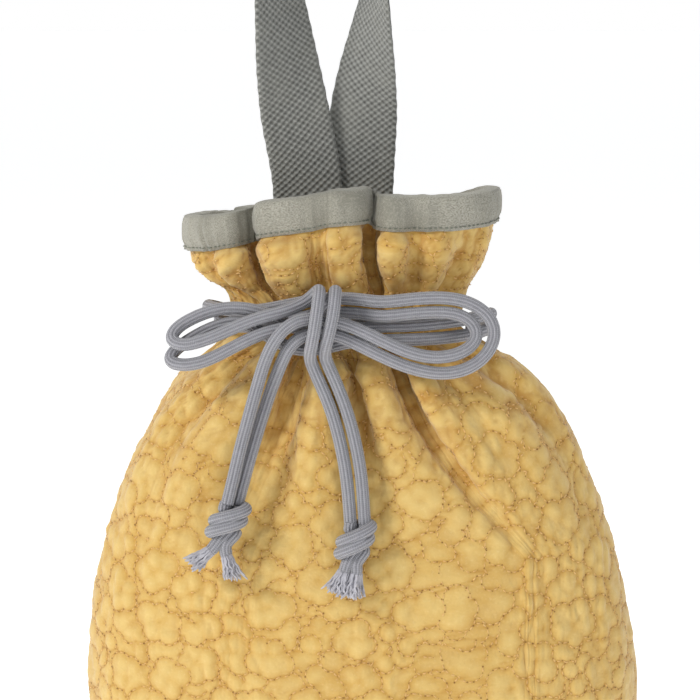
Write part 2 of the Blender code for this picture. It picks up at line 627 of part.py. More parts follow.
def main():
    for obj in list(bpy.data.objects):
        bpy.data.objects.remove(obj)
    quilted = cloth("quilted_cotton", (0.86, 0.64, 0.30), 0.9)
    binding = cloth("grey_green_cotton", (0.42, 0.45, 0.38), 0.9)
    webbing = cloth("grey_webbing", (0.22, 0.23, 0.21), 0.85)
    tape = cloth("casing_tape_cotton", (0.80, 0.70, 0.48), 0.9)
    cord = cloth("grey_cord", (0.36, 0.36, 0.40), 0.8)
    front = panel("front_panel", 0.0, quilted)
    back = panel("back_panel", 0.5, quilted)
    mouth_binding(front, back, binding)
    casing_tape("front_casing", 0.0, tape)
    casing_tape("back_casing", math.pi, tape)
    cord_tube("left_cord_casing_run", smooth_route(casing_route(-1, RUN_HEIGHTS[0]), CORD_SPACING), cord)
    cord_tube("right_cord_casing_run", smooth_route(casing_route(1, RUN_HEIGHTS[1]), CORD_SPACING), cord)
    for name, route in STRANDS.items():
        cord_tube(name, smooth_route(strand_route(route), CORD_SPACING), cord)
    tail_knot("left_tail_knot", LEFT_TAIL_KNOT, cord)
    tail_knot("right_tail_knot", RIGHT_TAIL_KNOT, cord)
    handle_strap(webbing)


if __name__ == "__main__":
    main()
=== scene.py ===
import math

import bpy
import numpy as np
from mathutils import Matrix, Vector


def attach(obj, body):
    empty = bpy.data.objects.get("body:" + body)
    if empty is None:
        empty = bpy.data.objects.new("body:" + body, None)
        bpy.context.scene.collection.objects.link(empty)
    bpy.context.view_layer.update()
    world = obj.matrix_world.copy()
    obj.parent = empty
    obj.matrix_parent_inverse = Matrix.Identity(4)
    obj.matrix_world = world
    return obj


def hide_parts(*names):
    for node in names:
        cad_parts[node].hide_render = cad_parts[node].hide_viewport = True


bl_info = {
    "name": "Quilted Drawstring Pouch",
    "version": (1, 0, 0),
    "blender": (4, 5, 0),
    "location": "View3D > Sidebar > Pouch",
    "description": "Builds a quilted cotton pouch with a tied bow and a webbing loop",
    "category": "Object",
}

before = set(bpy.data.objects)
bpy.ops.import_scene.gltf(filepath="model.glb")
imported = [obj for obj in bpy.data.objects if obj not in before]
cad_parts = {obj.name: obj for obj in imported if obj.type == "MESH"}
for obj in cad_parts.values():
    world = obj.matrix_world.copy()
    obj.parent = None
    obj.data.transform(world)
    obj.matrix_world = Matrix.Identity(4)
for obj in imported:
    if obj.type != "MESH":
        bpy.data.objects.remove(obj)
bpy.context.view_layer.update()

# Sizes of the solids, in metres. They are the solids' own, and the visible pieces are worked out from them.
FLAT_WIDTH = 0.280
WALL = 0.0035
FOLDED_WALL = 0.0055
FOLD_SIDE_WALL = 0.0036
SEAM_GAP = 0.0003
CLEARANCE = 0.0003
TAPE_SEAT = 0.0022

CORD_DIAMETER = 0.0053

CASING_BOTTOM = 0.231
CASING_TOP = 0.260
CASING_MIDDLE = 0.5 * (CASING_BOTTOM + CASING_TOP)
CASING_TAPE = 0.0010
GATHERED_WALL = 0.0105
WALL_TO_CORD = 0.00075
CORD_TO_TAPE = 0.00105
EXIT_WIDTH = 0.0180
RUN_INSET = GATHERED_WALL + WALL_TO_CORD + 0.5 * CORD_DIAMETER
TAPE_INSET = RUN_INSET + 0.5 * CORD_DIAMETER + CORD_TO_TAPE
RUN_HEIGHTS = (0.2490, 0.2425)

BINDING_HEIGHT = 0.014
BINDING_CLOTH = 0.0009

STRAP_WIDTH = 0.030
STRAP_THICKNESS = 0.0022

ROUNDNESS = 2.3

# Outline of the pouch: height, left edge, right edge, front and back.
OUTLINE = (
    (0.000, -0.0990, 0.0990, -0.0370, 0.0370),
    (0.004, -0.1060, 0.1060, -0.0425, 0.0425),
    (0.016, -0.1150, 0.1150, -0.0480, 0.0480),
    (0.045, -0.1205, 0.1205, -0.0505, 0.0505),
    (0.085, -0.1210, 0.1210, -0.0505, 0.0505),
    (0.115, -0.1198, 0.1168, -0.0500, 0.0500),
    (0.155, -0.1114, 0.1068, -0.0485, 0.0480),
    (0.181, -0.1028, 0.0972, -0.0465, 0.0455),
    (0.202, -0.0920, 0.0880, -0.0430, 0.0420),
    (0.221, -0.0795, 0.0740, -0.0385, 0.0375),
    (0.234, -0.0650, 0.0560, -0.0335, 0.0325),
    (0.243, -0.0576, 0.0434, -0.0310, 0.0300),
    (0.256, -0.0585, 0.0445, -0.0310, 0.0300),
    (0.268, -0.0680, 0.0500, -0.0325, 0.0315),
    (0.282, -0.0745, 0.0550, -0.0345, 0.0330),
    (0.302, -0.0760, 0.0572, -0.0355, 0.0340),
)

# Height of the rim round the mouth, by its place round the pouch: 0 is the left seam and
# 0.25 the middle of the front.
RIM = (
    (0.00, 0.2900),
    (0.06, 0.2915),
    (0.13, 0.2950),
    (0.17, 0.2955),
    (0.23, 0.3005),
    (0.30, 0.3035),
    (0.36, 0.3010),
    (0.44, 0.3005),
    (0.50, 0.3020),
    (0.58, 0.2960),
    (0.75, 0.2940),
    (0.92, 0.2900),
)
RIM_NOMINAL = 0.302

# Each fold of the gathered cloth: its place round the pouch, its half width as cut, and at
# each of FOLD_HEIGHTS where it lies across the pouch and how deep it is. LEAN is how far the
# ridge beside it laps over it, as a share of its depth.
FOLD_HEIGHTS = (0.150, 0.190, 0.211, 0.232, 0.243, 0.256, 0.275, 0.297)
FOLDS = (
    dict(at=0.064, half=0.025, lean=0.3,
         across=(-95, -84, -70, -52, -46, -50, -62, -66),
         deep=(0, 2, 4, 5, 5, 4, 3, 0)),
    dict(at=0.150, half=0.055, lean=0.7,
         across=(-55, -41, -34, -28, -31, -39, -46, -50),
         deep=(0, 5, 9, 9, 6, 7, 11, 15)),
    dict(at=0.250, half=0.032, lean=0.6,
         across=(8, 3, 0, -5, -12, -15, -18, -19),
         deep=(0, 3, 6, 7, 5, 5, 4, 2)),
    dict(at=0.340, half=0.055, lean=0.6,
         across=(70, 36, 23, 14, 11, 9, 4, 5),
         deep=(0, 5, 9, 10, 6, 7, 11, 15)),
    dict(at=0.417, half=0.019, lean=0.0,
         across=(86, 60, 45, 29, 24, 22, 22, 22),
         deep=(0, 1, 3, 5, 5, 5, 6, 3)),
    dict(at=0.456, half=0.016, lean=0.0,
         across=(99, 86, 72, 48, 35, 35, 41, 44),
         deep=(0, 2, 3, 4, 4, 4, 3, 0)),
    dict(at=0.545, half=0.020, lean=0.0,
         across=(96, 84, 70, 47, 36, 37, 45, 48),
         deep=(0, 2, 3, 4, 4, 4, 2, 0)),
    dict(at=0.615, half=0.045, lean=0.3,
         across=(62, 47, 38, 27, 25, 26, 28, 29),
         deep=(0, 4, 8, 8, 5, 6, 11, 14)),
    dict(at=0.715, half=0.030, lean=0.0,
         across=(14, 8, 5, 3, 2, 2, 2, 2),
         deep=(0, 3, 6, 7, 5, 4, 0, 0)),
    dict(at=0.785, half=0.025, lean=0.0,
         across=(-30, -23, -19, -17, -16, -16, -17, -18),
         deep=(0, 2, 5, 6, 5, 3, 0, 0)),
    dict(at=0.870, half=0.045, lean=0.3,
         across=(-76, -60, -51, -40, -38, -46, -56, -60),
         deep=(0, 4, 8, 8, 5, 6, 8, 8)),
    dict(at=0.945, half=0.020, lean=0.0,
         across=(-98, -86, -73, -56, -50, -53, -65, -69),
         deep=(0, 2, 3, 4, 4, 4, 2, 0)),
)
FOLD_OPENING = 0.0100
LAP_SHARE = 0.30
MM = 0.001
FINE_SAMPLES = 560
SOFTEN_SAMPLES = 4

BINDING_ROW = RIM_NOMINAL - BINDING_HEIGHT
PANEL_TOP = RIM_NOMINAL - BINDING_CLOTH - CLEARANCE
NECK_BELOW = (0.212, 0.2245)
NECK_ABOVE = (0.2645, 0.2740)
# Rows of each casing tape: height, the height whose outline it follows, and how far inside that it lies.
TAPE_ROWS = (
    (CASING_BOTTOM - 0.003, CASING_BOTTOM - 0.003, GATHERED_WALL + TAPE_SEAT),
    (CASING_BOTTOM + 0.004, CASING_MIDDLE, TAPE_INSET),
    (CASING_MIDDLE, CASING_MIDDLE, TAPE_INSET),
    (CASING_TOP - 0.004, CASING_MIDDLE, TAPE_INSET),
    (CASING_TOP + 0.003, CASING_TOP + 0.003, GATHERED_WALL + TAPE_SEAT),
)
BASE_SEAM_SHARE = 0.94
RUN_TURN = 42
RUN_POINTS = 22
# Way in from a side seam: how far in from the outline, and how far from the seam, for each cord end.
RUN_WAY_IN = ((0.0020, 0.0032), (0.0070, 0.0032), (0.0130, 0.0036), (0.0190, 0.0054))
# Routes of the four free strands, in millimetres: out of a side seam, across the front behind
# the knot, round the far loop of the bow, back through the knot and down to the tail's own knot.
STRANDS = {
    "left_upper_strand": (
        (-58.4, 3.2, 249), (-63, 2.4, 250.4), (-66.5, -4, 252), (-65, -14, 252.6), (-57, -24.6, 252.6),
        (-44, -32.4, 253.4), (-30, -35.4, 256.4), (-16, -35.8, 258.8), (-4, -38, 259), (7, -41, 258),
        (20, -42, 259.5), (33, -42.5, 260), (43.4, -43, 258), (51.2, -44, 252.5), (53.7, -45, 246),
        (51.2, -46, 238.4), (43.4, -47.5, 231.8), (32.7, -48.5, 229.4), (19.8, -48.5, 231.4),
        (9, -48, 235.6), (-1.7, -47.5, 240.8), (-10, -47, 244.6), (-19, -47.2, 246.2),
        (-26.2, -50, 245), (-31, -50.4, 240.7), (-34.4, -49, 233), (-38.3, -46.8, 222.8),
        (-42.3, -48, 210.7), (-46.2, -49.6, 197.9), (-49.8, -51, 185), (-52.4, -51.9, 175.4),
    ),
    "left_lower_strand": (
        (-59, -3.2, 249), (-62.2, -5, 248.4), (-60.8, -11.4, 245.8), (-57.3, -18.6, 245.2),
        (-50.2, -26.6, 245.9), (-40, -32.4, 247.4), (-28, -35.2, 250.4), (-16, -35.6, 252.8),
        (-4, -37.6, 253), (7, -41, 252), (20, -42, 253.4), (33, -42.5, 254), (40, -43, 252.8),
        (44.9, -44, 249.6), (46.8, -45, 245.2), (44.6, -46, 240.8), (38.4, -47.5, 237.4),
        (29, -48.5, 236), (18, -48.5, 238.2), (7.5, -48, 242.8), (-1.7, -47.8, 247.2),
        (-10, -48.2, 250.6), (-19.5, -49.6, 252.2), (-26, -51, 252.2), (-32, -53, 249.4),
        (-36.8, -53, 243.6), (-40.4, -52, 236), (-43.8, -51.6, 225), (-47.3, -52.4, 212.4),
        (-50.8, -53.6, 199.5), (-54, -55, 186), (-56.3, -56.2, 176.6),
    ),
    "right_upper_strand": (
        (44.6, 3.2, 242.5), (49.6, 2.8, 244.6), (54.2, -2.5, 248), (53, -13, 249.4), (46, -25, 249.4),
        (34, -33.6, 248.6), (20, -35.6, 247.6), (5, -36, 247.2), (-10, -36, 247), (-21, -37.6, 245.4),
        (-30, -40.2, 247.7), (-39, -41, 252.8), (-50, -41, 255.6), (-60, -41, 255.2),
        (-70, -41.5, 251.8), (-77.5, -43, 247.5), (-80.4, -45.8, 243.2), (-75.5, -48.3, 240.9),
        (-64, -48.6, 243.9), (-53.3, -47.8, 248.4), (-43, -47.2, 252.4), (-34, -46.6, 254.6),
        (-26.4, -44, 257.2), (-20.8, -42.4, 261), (-18.4, -46.5, 264.6), (-18.6, -52.8, 262),
        (-19.6, -55.8, 254), (-21, -55.6, 245), (-22.2, -52.4, 239.2), (-22.6, -47, 235.6),
        (-20.6, -45.2, 230), (-17, -46, 222), (-13.4, -47.5, 213), (-10.3, -49.5, 202),
        (-7.9, -51.5, 190), (-6.6, -53.2, 179), (-5.8, -54.2, 167.8),
    ),
    "right_lower_strand": (
        (44.6, -3.2, 242.5), (49, -5.6, 242.7), (52, -11, 243), (50, -19.8, 243), (42.5, -29, 242.7),
        (29.5, -35, 242), (12, -36.2, 241.5), (-5, -36, 241), (-20, -36.6, 237.6), (-31, -38.6, 238.6),
        (-41, -40.6, 244.6), (-50, -40.8, 249.8), (-60, -40.4, 248.4), (-70, -41.2, 243.8),
        (-79, -43, 237.6), (-81.2, -46, 234.2), (-75, -48.4, 232.8), (-66, -49, 234.4),
        (-56, -48.4, 239.2), (-46, -47.6, 244.2), (-37.4, -47.1, 247.2), (-31, -46.8, 248.2),
        (-25, -44.4, 249.8), (-19, -42.4, 254), (-13, -42.6, 259.8), (-11.8, -46.5, 264.5),
        (-12, -52.4, 262), (-12.9, -54.8, 254), (-14.8, -54.4, 246), (-16.2, -52, 240),
        (-16.6, -47, 236.6), (-13.8, -45.6, 230), (-10, -46, 221), (-6.4, -47.8, 211),
        (-3.6, -49.8, 200), (-1.6, -51.8, 189), (-0.6, -53.4, 178), (0, -54.2, 167.8),
    ),
}

# Each tail knot: its top, where it narrows and the end of the tuft, in millimetres.
LEFT_TAIL_KNOT = ((-54.2, -54.2, 174.9), (-59.4, -56.4, 158.0), (-63.2, -56.4, 147.0))
RIGHT_TAIL_KNOT = ((-2.8, -54.6, 167.0), (-5.4, -56.2, 150.0), (-9.0, -56.2, 136.0))

# Middle line of the handle in millimetres, and the turn of its width in degrees.
STRAP_ROUTE = (
    (-24.0, 16.2, 276, 0), (-24.0, 16.2, 285, 0), (-24.8, 16.2, 305, 6), (-30.0, 14.0, 335, 26),
    (-34.0, 8.0, 365, 42), (-36.0, 5.0, 395, 56), (-30.0, 3.0, 422, 70), (-12.0, 3.0, 437, 80),
    (3.0, 6.0, 424, 90), (5.5, 10.0, 395, 100), (3.0, 15.0, 365, 120), (0.0, 20.0, 335, 145),
    (-2.0, 19.8, 305, 171), (-2.6, 20.0, 285, 180), (-2.6, 20.0, 276, 180),
)


def smooth_steps(x, knots, values):
    """Monotone cubic interpolation through knots, which never overshoots a value."""
    knots = np.asarray(knots, float)
    values = np.asarray(values, float)
    spans = np.diff(knots)
    slopes = np.diff(values) / spans
    tangents = np.zeros_like(values)
    same_way = slopes[:-1] * slopes[1:] > 0
    before = 2 * spans[1:] + spans[:-1]
    after = spans[1:] + 2 * spans[:-1]
    safe = np.where(same_way, slopes[:-1] * slopes[1:], 1.0)
    harmonic = (before + after) * safe / (before * slopes[1:] + after * slopes[:-1] + 1e-30 * (safe == 1.0))
    tangents[1:-1] = np.where(same_way, harmonic, 0.0)
    tangents[0] = slopes[0]
    tangents[-1] = slopes[-1]
    x = np.clip(np.asarray(x, float), knots[0], knots[-1])
    i = np.clip(np.searchsorted(knots, x, side="right") - 1, 0, len(spans) - 1)
    h = spans[i]
    t = (x - knots[i]) / h
    return (
        values[i] * (1 + 2 * t) * (1 - t) ** 2
        + tangents[i] * h * t * (1 - t) ** 2
        + values[i + 1] * t * t * (3 - 2 * t)
        + tangents[i + 1] * h * t * t * (t - 1)
    )


def outline_at(height):
    """Left, right, front and back of the pouch at a height."""
    rows = np.array(OUTLINE)
    return [float(smooth_steps(height, rows[:, 0], rows[:, side])) for side in range(1, 5)]


def rim_height(around):
    """Height of the rim at places round the pouch."""
    rows = np.array(RIM + ((1.0 + RIM[0][0], RIM[0][1]),))
    return smooth_steps(np.mod(around, 1.0), rows[:, 0], rows[:, 1])


def curve_point(angle, height, inset=0.0):
    """Point of the plain outline, with no folds. Angle 0 is the left seam, 90 degrees the front."""
    left, right, front, back = outline_at(height)
    middle = 0.5 * (left + right)
    half = 0.5 * (right - left) - inset
    swing = np.sin(angle)
    depth = np.where(swing > 0, -front - inset, back - inset)
    power = 2 / ROUNDNESS
    x = middle - half * np.sign(np.cos(angle)) * np.abs(np.cos(angle)) ** power
    y = -depth * np.sign(swing) * np.abs(swing) ** power
    return np.stack([x, y], axis=-1)


def angle_of(across, height, is_front):
    """Angle at which the plain outline passes the place across the pouch."""
    left, right, _, _ = outline_at(height)
    share = np.clip((across - 0.5 * (left + right)) / (0.5 * (right - left)), -0.985, 0.985)
    angle = math.acos(-np.sign(share) * abs(share) ** (ROUNDNESS / 2))
    return angle if is_front else 2 * math.pi - angle


def folds_at(height):
    """Every fold's angle, depth and half opening at a height."""
    found = []
    for fold in FOLDS:
        across = float(smooth_steps(height, FOLD_HEIGHTS, np.array(fold["across"]) * MM))
        depth = float(smooth_steps(height, FOLD_HEIGHTS, np.array(fold["deep"]) * MM))
        fade = np.clip((height - 0.110) / (FOLD_HEIGHTS[0] - 0.110), 0, 1)
        found.append([angle_of(across, height, fold["at"] < 0.5), depth * fade, 0.0])
    for i, fold in enumerate(FOLDS):
        cut = fold["half"] * 2 * FLAT_WIDTH
        opening = math.sqrt(max(cut**2 - (1.15 * found[i][1]) ** 2, FOLD_OPENING**2))
        here = curve_point(np.array(found[i][0]), height)
        near = [0.0 if i == 0 else found[i - 1][0], 2 * math.pi if i == len(FOLDS) - 1 else found[i + 1][0]]
        room = min(np.linalg.norm(curve_point(np.array(angle), height) - here) for angle in near)
        found[i][2] = min(opening, 0.43 * room)
    return found


def place_round(around, height, folds):
    """Angle on the plain outline of each place round the cloth."""
    anchors = [(0.0, 0.0), (0.5, math.pi), (1.0, 2 * math.pi)]
    for fold, (angle, _, opening) in zip(FOLDS, folds):
        step = 1e-4
        pair = curve_point(np.array([angle - step, angle + step]), height)
        spread = opening * 2 * step / np.linalg.norm(pair[1] - pair[0])
        anchors += [(fold["at"] + side * fold["half"], angle + side * spread) for side in (-1, 0, 1)]
    anchors.sort()
    return smooth_steps(around, [place for place, _ in anchors], [angle for _, angle in anchors])


def exit_edge(height):
    """Half of the gap between the two panels at a side seam: wide only where the cords come out."""
    half = 0.5 * (CASING_TOP - CASING_BOTTOM)
    share = np.clip(1 - ((height - CASING_MIDDLE) / half) ** 2, 0, 1) ** 0.5
    return 0.5 * SEAM_GAP + (0.5 * EXIT_WIDTH - 0.5 * SEAM_GAP) * share


def keep_off_seams(around, angle, height):
    """Angles of one panel, closed up so that its side edges stop at the seam gap."""
    _, _, front, back = outline_at(height)
    depth = -front if around[len(around) // 2] < 0.5 else back
    edge = math.asin((exit_edge(height) / depth) ** (ROUNDNESS / 2))
    start = 0.0 if around[len(around) // 2] < 0.5 else math.pi
    return start + edge + (angle - start) * (1 - 2 * edge / math.pi)


def soften(points):
    """Rounds a finely sampled curve, as thick cloth does, and keeps its ends where they are."""
    reach = 3 * SOFTEN_SAMPLES
    kernel = np.exp(-0.5 * (np.arange(-reach, reach + 1) / SOFTEN_SAMPLES) ** 2)
    kernel /= kernel.sum()
    before = 2 * points[0] - points[reach:0:-1]
    after = 2 * points[-1] - points[-2 : -reach - 2 : -1]
    padded = np.concatenate([before, points, after])
    return np.column_stack([np.convolve(padded[:, axis], kernel, "valid") for axis in range(points.shape[1])])


def wall_at(height):
    """How far the inner face lies inside the outline, and the share of each fold it follows."""
    folded = smooth_steps(height, (0.150, 0.200), (WALL, FOLDED_WALL))
    packed = min(smooth_steps(height, NECK_BELOW, (0, 1)), smooth_steps(height, NECK_ABOVE, (1, 0)))
    return float(folded + packed * (GATHERED_WALL - folded)), float(1 - packed)


def section(around, height):
    """One panel's outer and inner face at a height."""
    start = 0.0 if around[len(around) // 2] < 0.5 else 0.5
    side = -1.0 if start == 0 else 1.0
    fine = np.linspace(start, start + 0.5, FINE_SAMPLES // 2 + 1)
    folds = folds_at(height)
    angle = keep_off_seams(fine, place_round(fine, height, folds), height)
    step = 1e-3
    ahead = curve_point(angle + step, height) - curve_point(angle - step, height)
    ahead /= np.linalg.norm(ahead, axis=-1, keepdims=True)
    inward = np.stack([-ahead[:, 1], ahead[:, 0]], axis=-1)
    moved = np.zeros_like(ahead)
    moved_inside = np.zeros_like(ahead)
    for fold, (_, depth, opening) in zip(FOLDS, folds):
        t = (fine - fold["at"]) / fold["half"]
        narrower = opening / (opening + FOLD_SIDE_WALL)
        valley, valley_inside = ((1 - np.minimum(np.abs(s), 1) ** 2.6) ** 1.2 for s in (t, narrower * t))
        lap = np.exp(-(((t - 1.05) / 0.45) ** 2))
        tuck = np.exp(-(((t + 0.9) / 0.5) ** 2))
        lapped = min(fold["lean"] * depth, LAP_SHARE * opening)
        leaned = inward * (0.15 * lapped * tuck)[:, None] - ahead * (lapped * lap)[:, None]
        moved += leaned + inward * (depth * valley)[:, None]
        moved_inside += leaned + inward * (depth * valley_inside)[:, None]
    inset, followed = wall_at(height)
    outer = soften(curve_point(angle, height) + moved)
    inner = soften(curve_point(angle, height, inset) + followed * moved_inside)
    inner[:, 1] = side * np.maximum(side * inner[:, 1], exit_edge(height))
    return [
        np.column_stack([np.interp(around, fine, face[:, axis]) for axis in (0, 1)])
        for face in (outer, inner)
    ]


def smooth_route(points, spacing):
    """Evenly spaced points on one smooth curve through a route's own points."""
    route = np.array(points, float)
    steps = np.linalg.norm(np.diff(route, axis=0), axis=1) ** 0.5
    knots = np.concatenate([[0], np.cumsum(steps)])
    ends = np.vstack([2 * route[0] - route[1], route, 2 * route[-1] - route[-2]])
    marks = np.concatenate([[-steps[0]], knots, [knots[-1] + steps[-1]]])
    slopes = np.diff(ends, axis=0) / np.diff(marks)[:, None]
    spans = np.diff(marks)[:, None]
    tangents = (slopes[:-1] * spans[1:] + slopes[1:] * spans[:-1]) / (spans[1:] + spans[:-1])
    fine = []
    for i, step in enumerate(steps):
        t = np.linspace(0, 1, 25)[:-1, None]
        fine.append(
            route[i] * (1 + 2 * t) * (1 - t) ** 2
            + tangents[i] * step * t * (1 - t) ** 2
            + route[i + 1] * t * t * (3 - 2 * t)
            + tangents[i + 1] * step * t * t * (t - 1)
        )
    fine = np.vstack(fine + [route[-1:]])
    travel = np.concatenate([[0], np.cumsum(np.linalg.norm(np.diff(fine, axis=0), axis=1))])
    count = max(2, round(travel[-1] / spacing) + 1)
    even = np.linspace(0, travel[-1], count)
    return np.column_stack([np.interp(even, travel, fine[:, axis]) for axis in range(3)])


def casing_route(side, height):
    """Route of one drawstring inside the casing: in at one side seam, round the neck, and out again.

    Side is -1 for the left seam and 1 for the right one."""
    left, right, _, _ = outline_at(height)
    edge = left if side < 0 else right
    start = 0.0 if side < 0 else math.pi
    angles = np.radians(np.linspace(RUN_TURN, 360 - RUN_TURN, RUN_POINTS)) + start
    ring = curve_point(angles, height, RUN_INSET)
    way_in = [(edge - side * inwards, side * aside) for inwards, aside in RUN_WAY_IN]
    way_out = [(x, -y) for x, y in reversed(way_in)]
    return [(x, y, height) for x, y in (*way_in, *ring, *way_out)]


def strand_route(route):
    """A route in metres from one in millimetres."""
    return [(x * MM, y * MM, z * MM) for x, y, z in route]


# How the visible cloth is sampled: places across a panel, and from one row to the next.
VIEW_COLUMNS = 238
ROW_STEP = 0.00118
BASE_DEPTH = 0.037
LINING_EVERY = (6, 3)

# How it differs from the solids, in metres: it lies a little inside them and puffs out again.
SINK = 0.0009
FOLD_RELIEF = 0.0040
CRINKLES = 0.00050
PLEATS = 0.00180
GATHERS = 0.00045
NECK_GATHERS = 0.00165
WAVES = 0.0008
LINING_GAP = 0.0016
LINING_FLOOR = 0.0025
LOWEST_CLOTH = 0.0003
NECK = 0.247
NECK_REACH = 0.020
GATHERED_ABOVE = 0.232
GATHERED_REACH = 0.034

# Distance in millimetres over which a seam holds the wadding down, and the straight seams' heights.
SEAM_PULL = 2.3
STITCH_LINES = (0.2323, 0.2602, 0.2731)

# Stitches and needle holes: length, thickness, how far they stand on the cloth, and how uneven they are.
STITCH_LENGTH = 0.0016
STITCH_THICKNESS = 0.0005
STITCH_LIFT = 0.00012
HOLE_RADIUS = 0.00031
HOLE_LIFT = 0.0002
STITCH_UNEVENNESS = 0.14
HOLE_UNEVENNESS = 0.45

# Clouds of the quilting pattern, in millimetres of flat cloth.
CLOUD_ROW = 11.6
CLOUD_SPACING = (13.0, 20.0)
CLOUD_REACH = (3.4, 6.0)
CLOUD_RADIUS = (3.8, 6.0)
CLOUD_NEAR = 24

# The binding: where it starts below the seam row, its rows up each side and places round each panel.
BINDING_TUCK = 0.0004
BINDING_STEPS = 7
BINDING_COLUMNS = 360
BINDING_PITCH = 0.0023
BINDING_STITCH = (0.0017, 0.0006)
BINDING_SEAM = 0.12
BINDING_JOIN = 0.0520

# How the binding stands on the cloth, in metres: its least lift, its swell between the seam and the rim,
# how far the seam and the join draw it down, its wide and its small puckers, and its turn over the rim.
BINDING_LIFT = 0.0010
BINDING_SWELL = 0.0009
BINDING_DRAWN = 0.0008
BINDING_PUCKER = 0.00055
BINDING_CRINKLE = 0.00028
BINDING_RISE = 0.0012
BINDING_TURN = 0.0014
BINDING_INSIDE = 0.0012
BINDING_STITCH_LIFT = 0.00018

# The casing tapes' places across and up, and from one place across to the next.
TAPE_COLUMNS = 120
TAPE_LEVELS = 22
TAPE_SPACING = 0.0011
TAPE_RIPPLE = 0.0003

# The webbing: places across one face, how square its edges are, and the bumps of its woven edge.
WEBBING_COLUMNS = 33
WEBBING_SQUARENESS = 14
WEBBING_EDGE = 0.00015
WEBBING_EDGE_PITCH = 0.0013

# Cords: from one point to the next along the free strands and along the casing runs and the webbing,
# the sides of their rings, and how many times the strands' sharp turns are eased.
STRAND_STEP = 0.0010
RUN_STEP = 0.0016
STRAND_SIDES = 18
RUN_SIDES = 14
EASING_ROUNDS = 26

# The tail knots: where a strand starts to wrap and how far round it goes, in degrees, how far down
# the wraps start and how far they go, how wide they are, and how far apart the strands come in.
KNOT_START = -95
KNOT_TURN = 430
KNOT_FALL = (0.0026, 0.0074)
KNOT_WIDTH = (0.0039, 0.0011)
KNOT_APART = 0.0030

# The frayed ends: their length, how many threads, how thick each is and how crimped.
FRAY_LENGTH = (0.0075, 0.0110)
FRAY_THREADS = 80
FRAY_THREAD = 0.00044
FRAY_CRIMP = 0.00045

# Camera: lens and sensor in millimetres, tilt in degrees, what it looks at and how much it takes in.
LENS = 120.0
SENSOR = 36.0
TILT = 8.5
LOOK_AT = (-0.006, 0, 0.232)
VIEW_SPAN = 0.301

# How far the floor reaches each way.
FLOOR_HALF = 30


# Node helpers


def add_node(tree, kind, values=(), **settings):
    """Adds a node, sets its properties and the listed (socket, value or link) pairs."""
    node = tree.nodes.new(kind)
    for key, value in settings.items():
        setattr(node, key, value)
    for socket, value in values:
        if isinstance(value, bpy.types.NodeSocket):
            tree.links.new(value, node.inputs[socket])
        else:
            node.inputs[socket].default_value = value
    return node


def maths(tree, operation, a, b=0.0, c=0.0):
    """Result of a Math node on values or links."""
    node = add_node(tree, "ShaderNodeMath", operation=operation)
    for socket, value in zip(node.inputs, (a, b, c)):
        if isinstance(value, bpy.types.NodeSocket):
            tree.links.new(value, socket)
        else:
            socket.default_value = value
    return node.outputs[0]


def blend_colours(tree, share, a, b):
    """Colour a, with the share of colour b mixed in."""
    node = add_node(tree, "ShaderNodeMix", data_type="RGBA")
    for socket, value in ((node.inputs[0], share), (node.inputs[6], a), (node.inputs[7], b)):
        if isinstance(value, bpy.types.NodeSocket):
            tree.links.new(value, socket)
        else:
            socket.default_value = value
    return node.outputs[2]


def named_value(tree, name):
    """A value that the mesh carries for each point."""
    return add_node(tree, "ShaderNodeAttribute", attribute_name=name).outputs["Fac"]


def noise_of(tree, place, scale, detail):
    """Noise over a place, from 0 to 1."""
    values = [("Vector", place), ("Scale", scale), ("Detail", detail)]
    return add_node(tree, "ShaderNodeTexNoise", values).outputs[0]


def thread_group():
    """Shared group: the over-and-under of a plain weave, and slow and fine variation of the yarn."""
    group = bpy.data.node_groups.new("plain_weave", "ShaderNodeTree")
    face = group.interface
    face.new_socket("Threads", in_out="INPUT", socket_type="NodeSocketFloat").default_value = 2600.0
    for name in ("Weave", "Patches", "Flecks"):
        face.new_socket(name, in_out="OUTPUT", socket_type="NodeSocketFloat")
    entry = group.nodes.new("NodeGroupInput")
    leave = group.nodes.new("NodeGroupOutput")
    place = group.nodes.new("ShaderNodeUVMap")
    apart = add_node(group, "ShaderNodeSeparateXYZ", [(0, place.outputs[0])])
    waves = []
    for axis in (0, 1):
        turned = maths(group, "MULTIPLY", apart.outputs[axis], entry.outputs[0])
        waves.append(maths(group, "SINE", maths(group, "MULTIPLY", turned, math.pi)))
    weave = maths(group, "MULTIPLY_ADD", maths(group, "MULTIPLY", waves[0], waves[1]), 0.5, 0.5)
    solid = add_node(group, "ShaderNodeTexCoord").outputs["Object"]
    patches = noise_of(group, solid, 38.0, 5.0)
    flecks = noise_of(group, place.outputs[0], 900.0, 2.0)
    group.links.new(weave, leave.inputs["Weave"])
    group.links.new(patches, leave.inputs["Patches"])
    group.links.new(flecks, leave.inputs["Flecks"])
    return group


def start_material(name, roughness, sheen):
    """A new material with the soft sheen of cotton. Returns it with its node tree and shader."""
    material = bpy.data.materials.new(name)
    material.use_nodes = True
    shader = material.node_tree.nodes["Principled BSDF"]
    shader.inputs["Roughness"].default_value = roughness
    shader.inputs["Specular IOR Level"].default_value = 0.22
    shader.inputs["Sheen Weight"].default_value = sheen
    shader.inputs["Sheen Roughness"].default_value = 0.5
    return material, material.node_tree, shader


def bump(tree, shader, height, distance, strength, before=None):
    """Gives the shader the relief of a height, on top of the bump before it."""
    values = [("Height", height), ("Distance", distance), ("Strength", strength)]
    if before is not None:
        values.append(("Normal", before))
    normal = add_node(tree, "ShaderNodeBump", values).outputs[0]
    tree.links.new(normal, shader.inputs["Normal"])
    return normal


def stretch(tree, value, low, high):
    """Spreads the part of a value between low and high over 0 to 1."""
    node = add_node(tree, "ShaderNodeMapRange", [("Value", value), ("From Min", low), ("From Max", high)])
    return node.outputs[0]


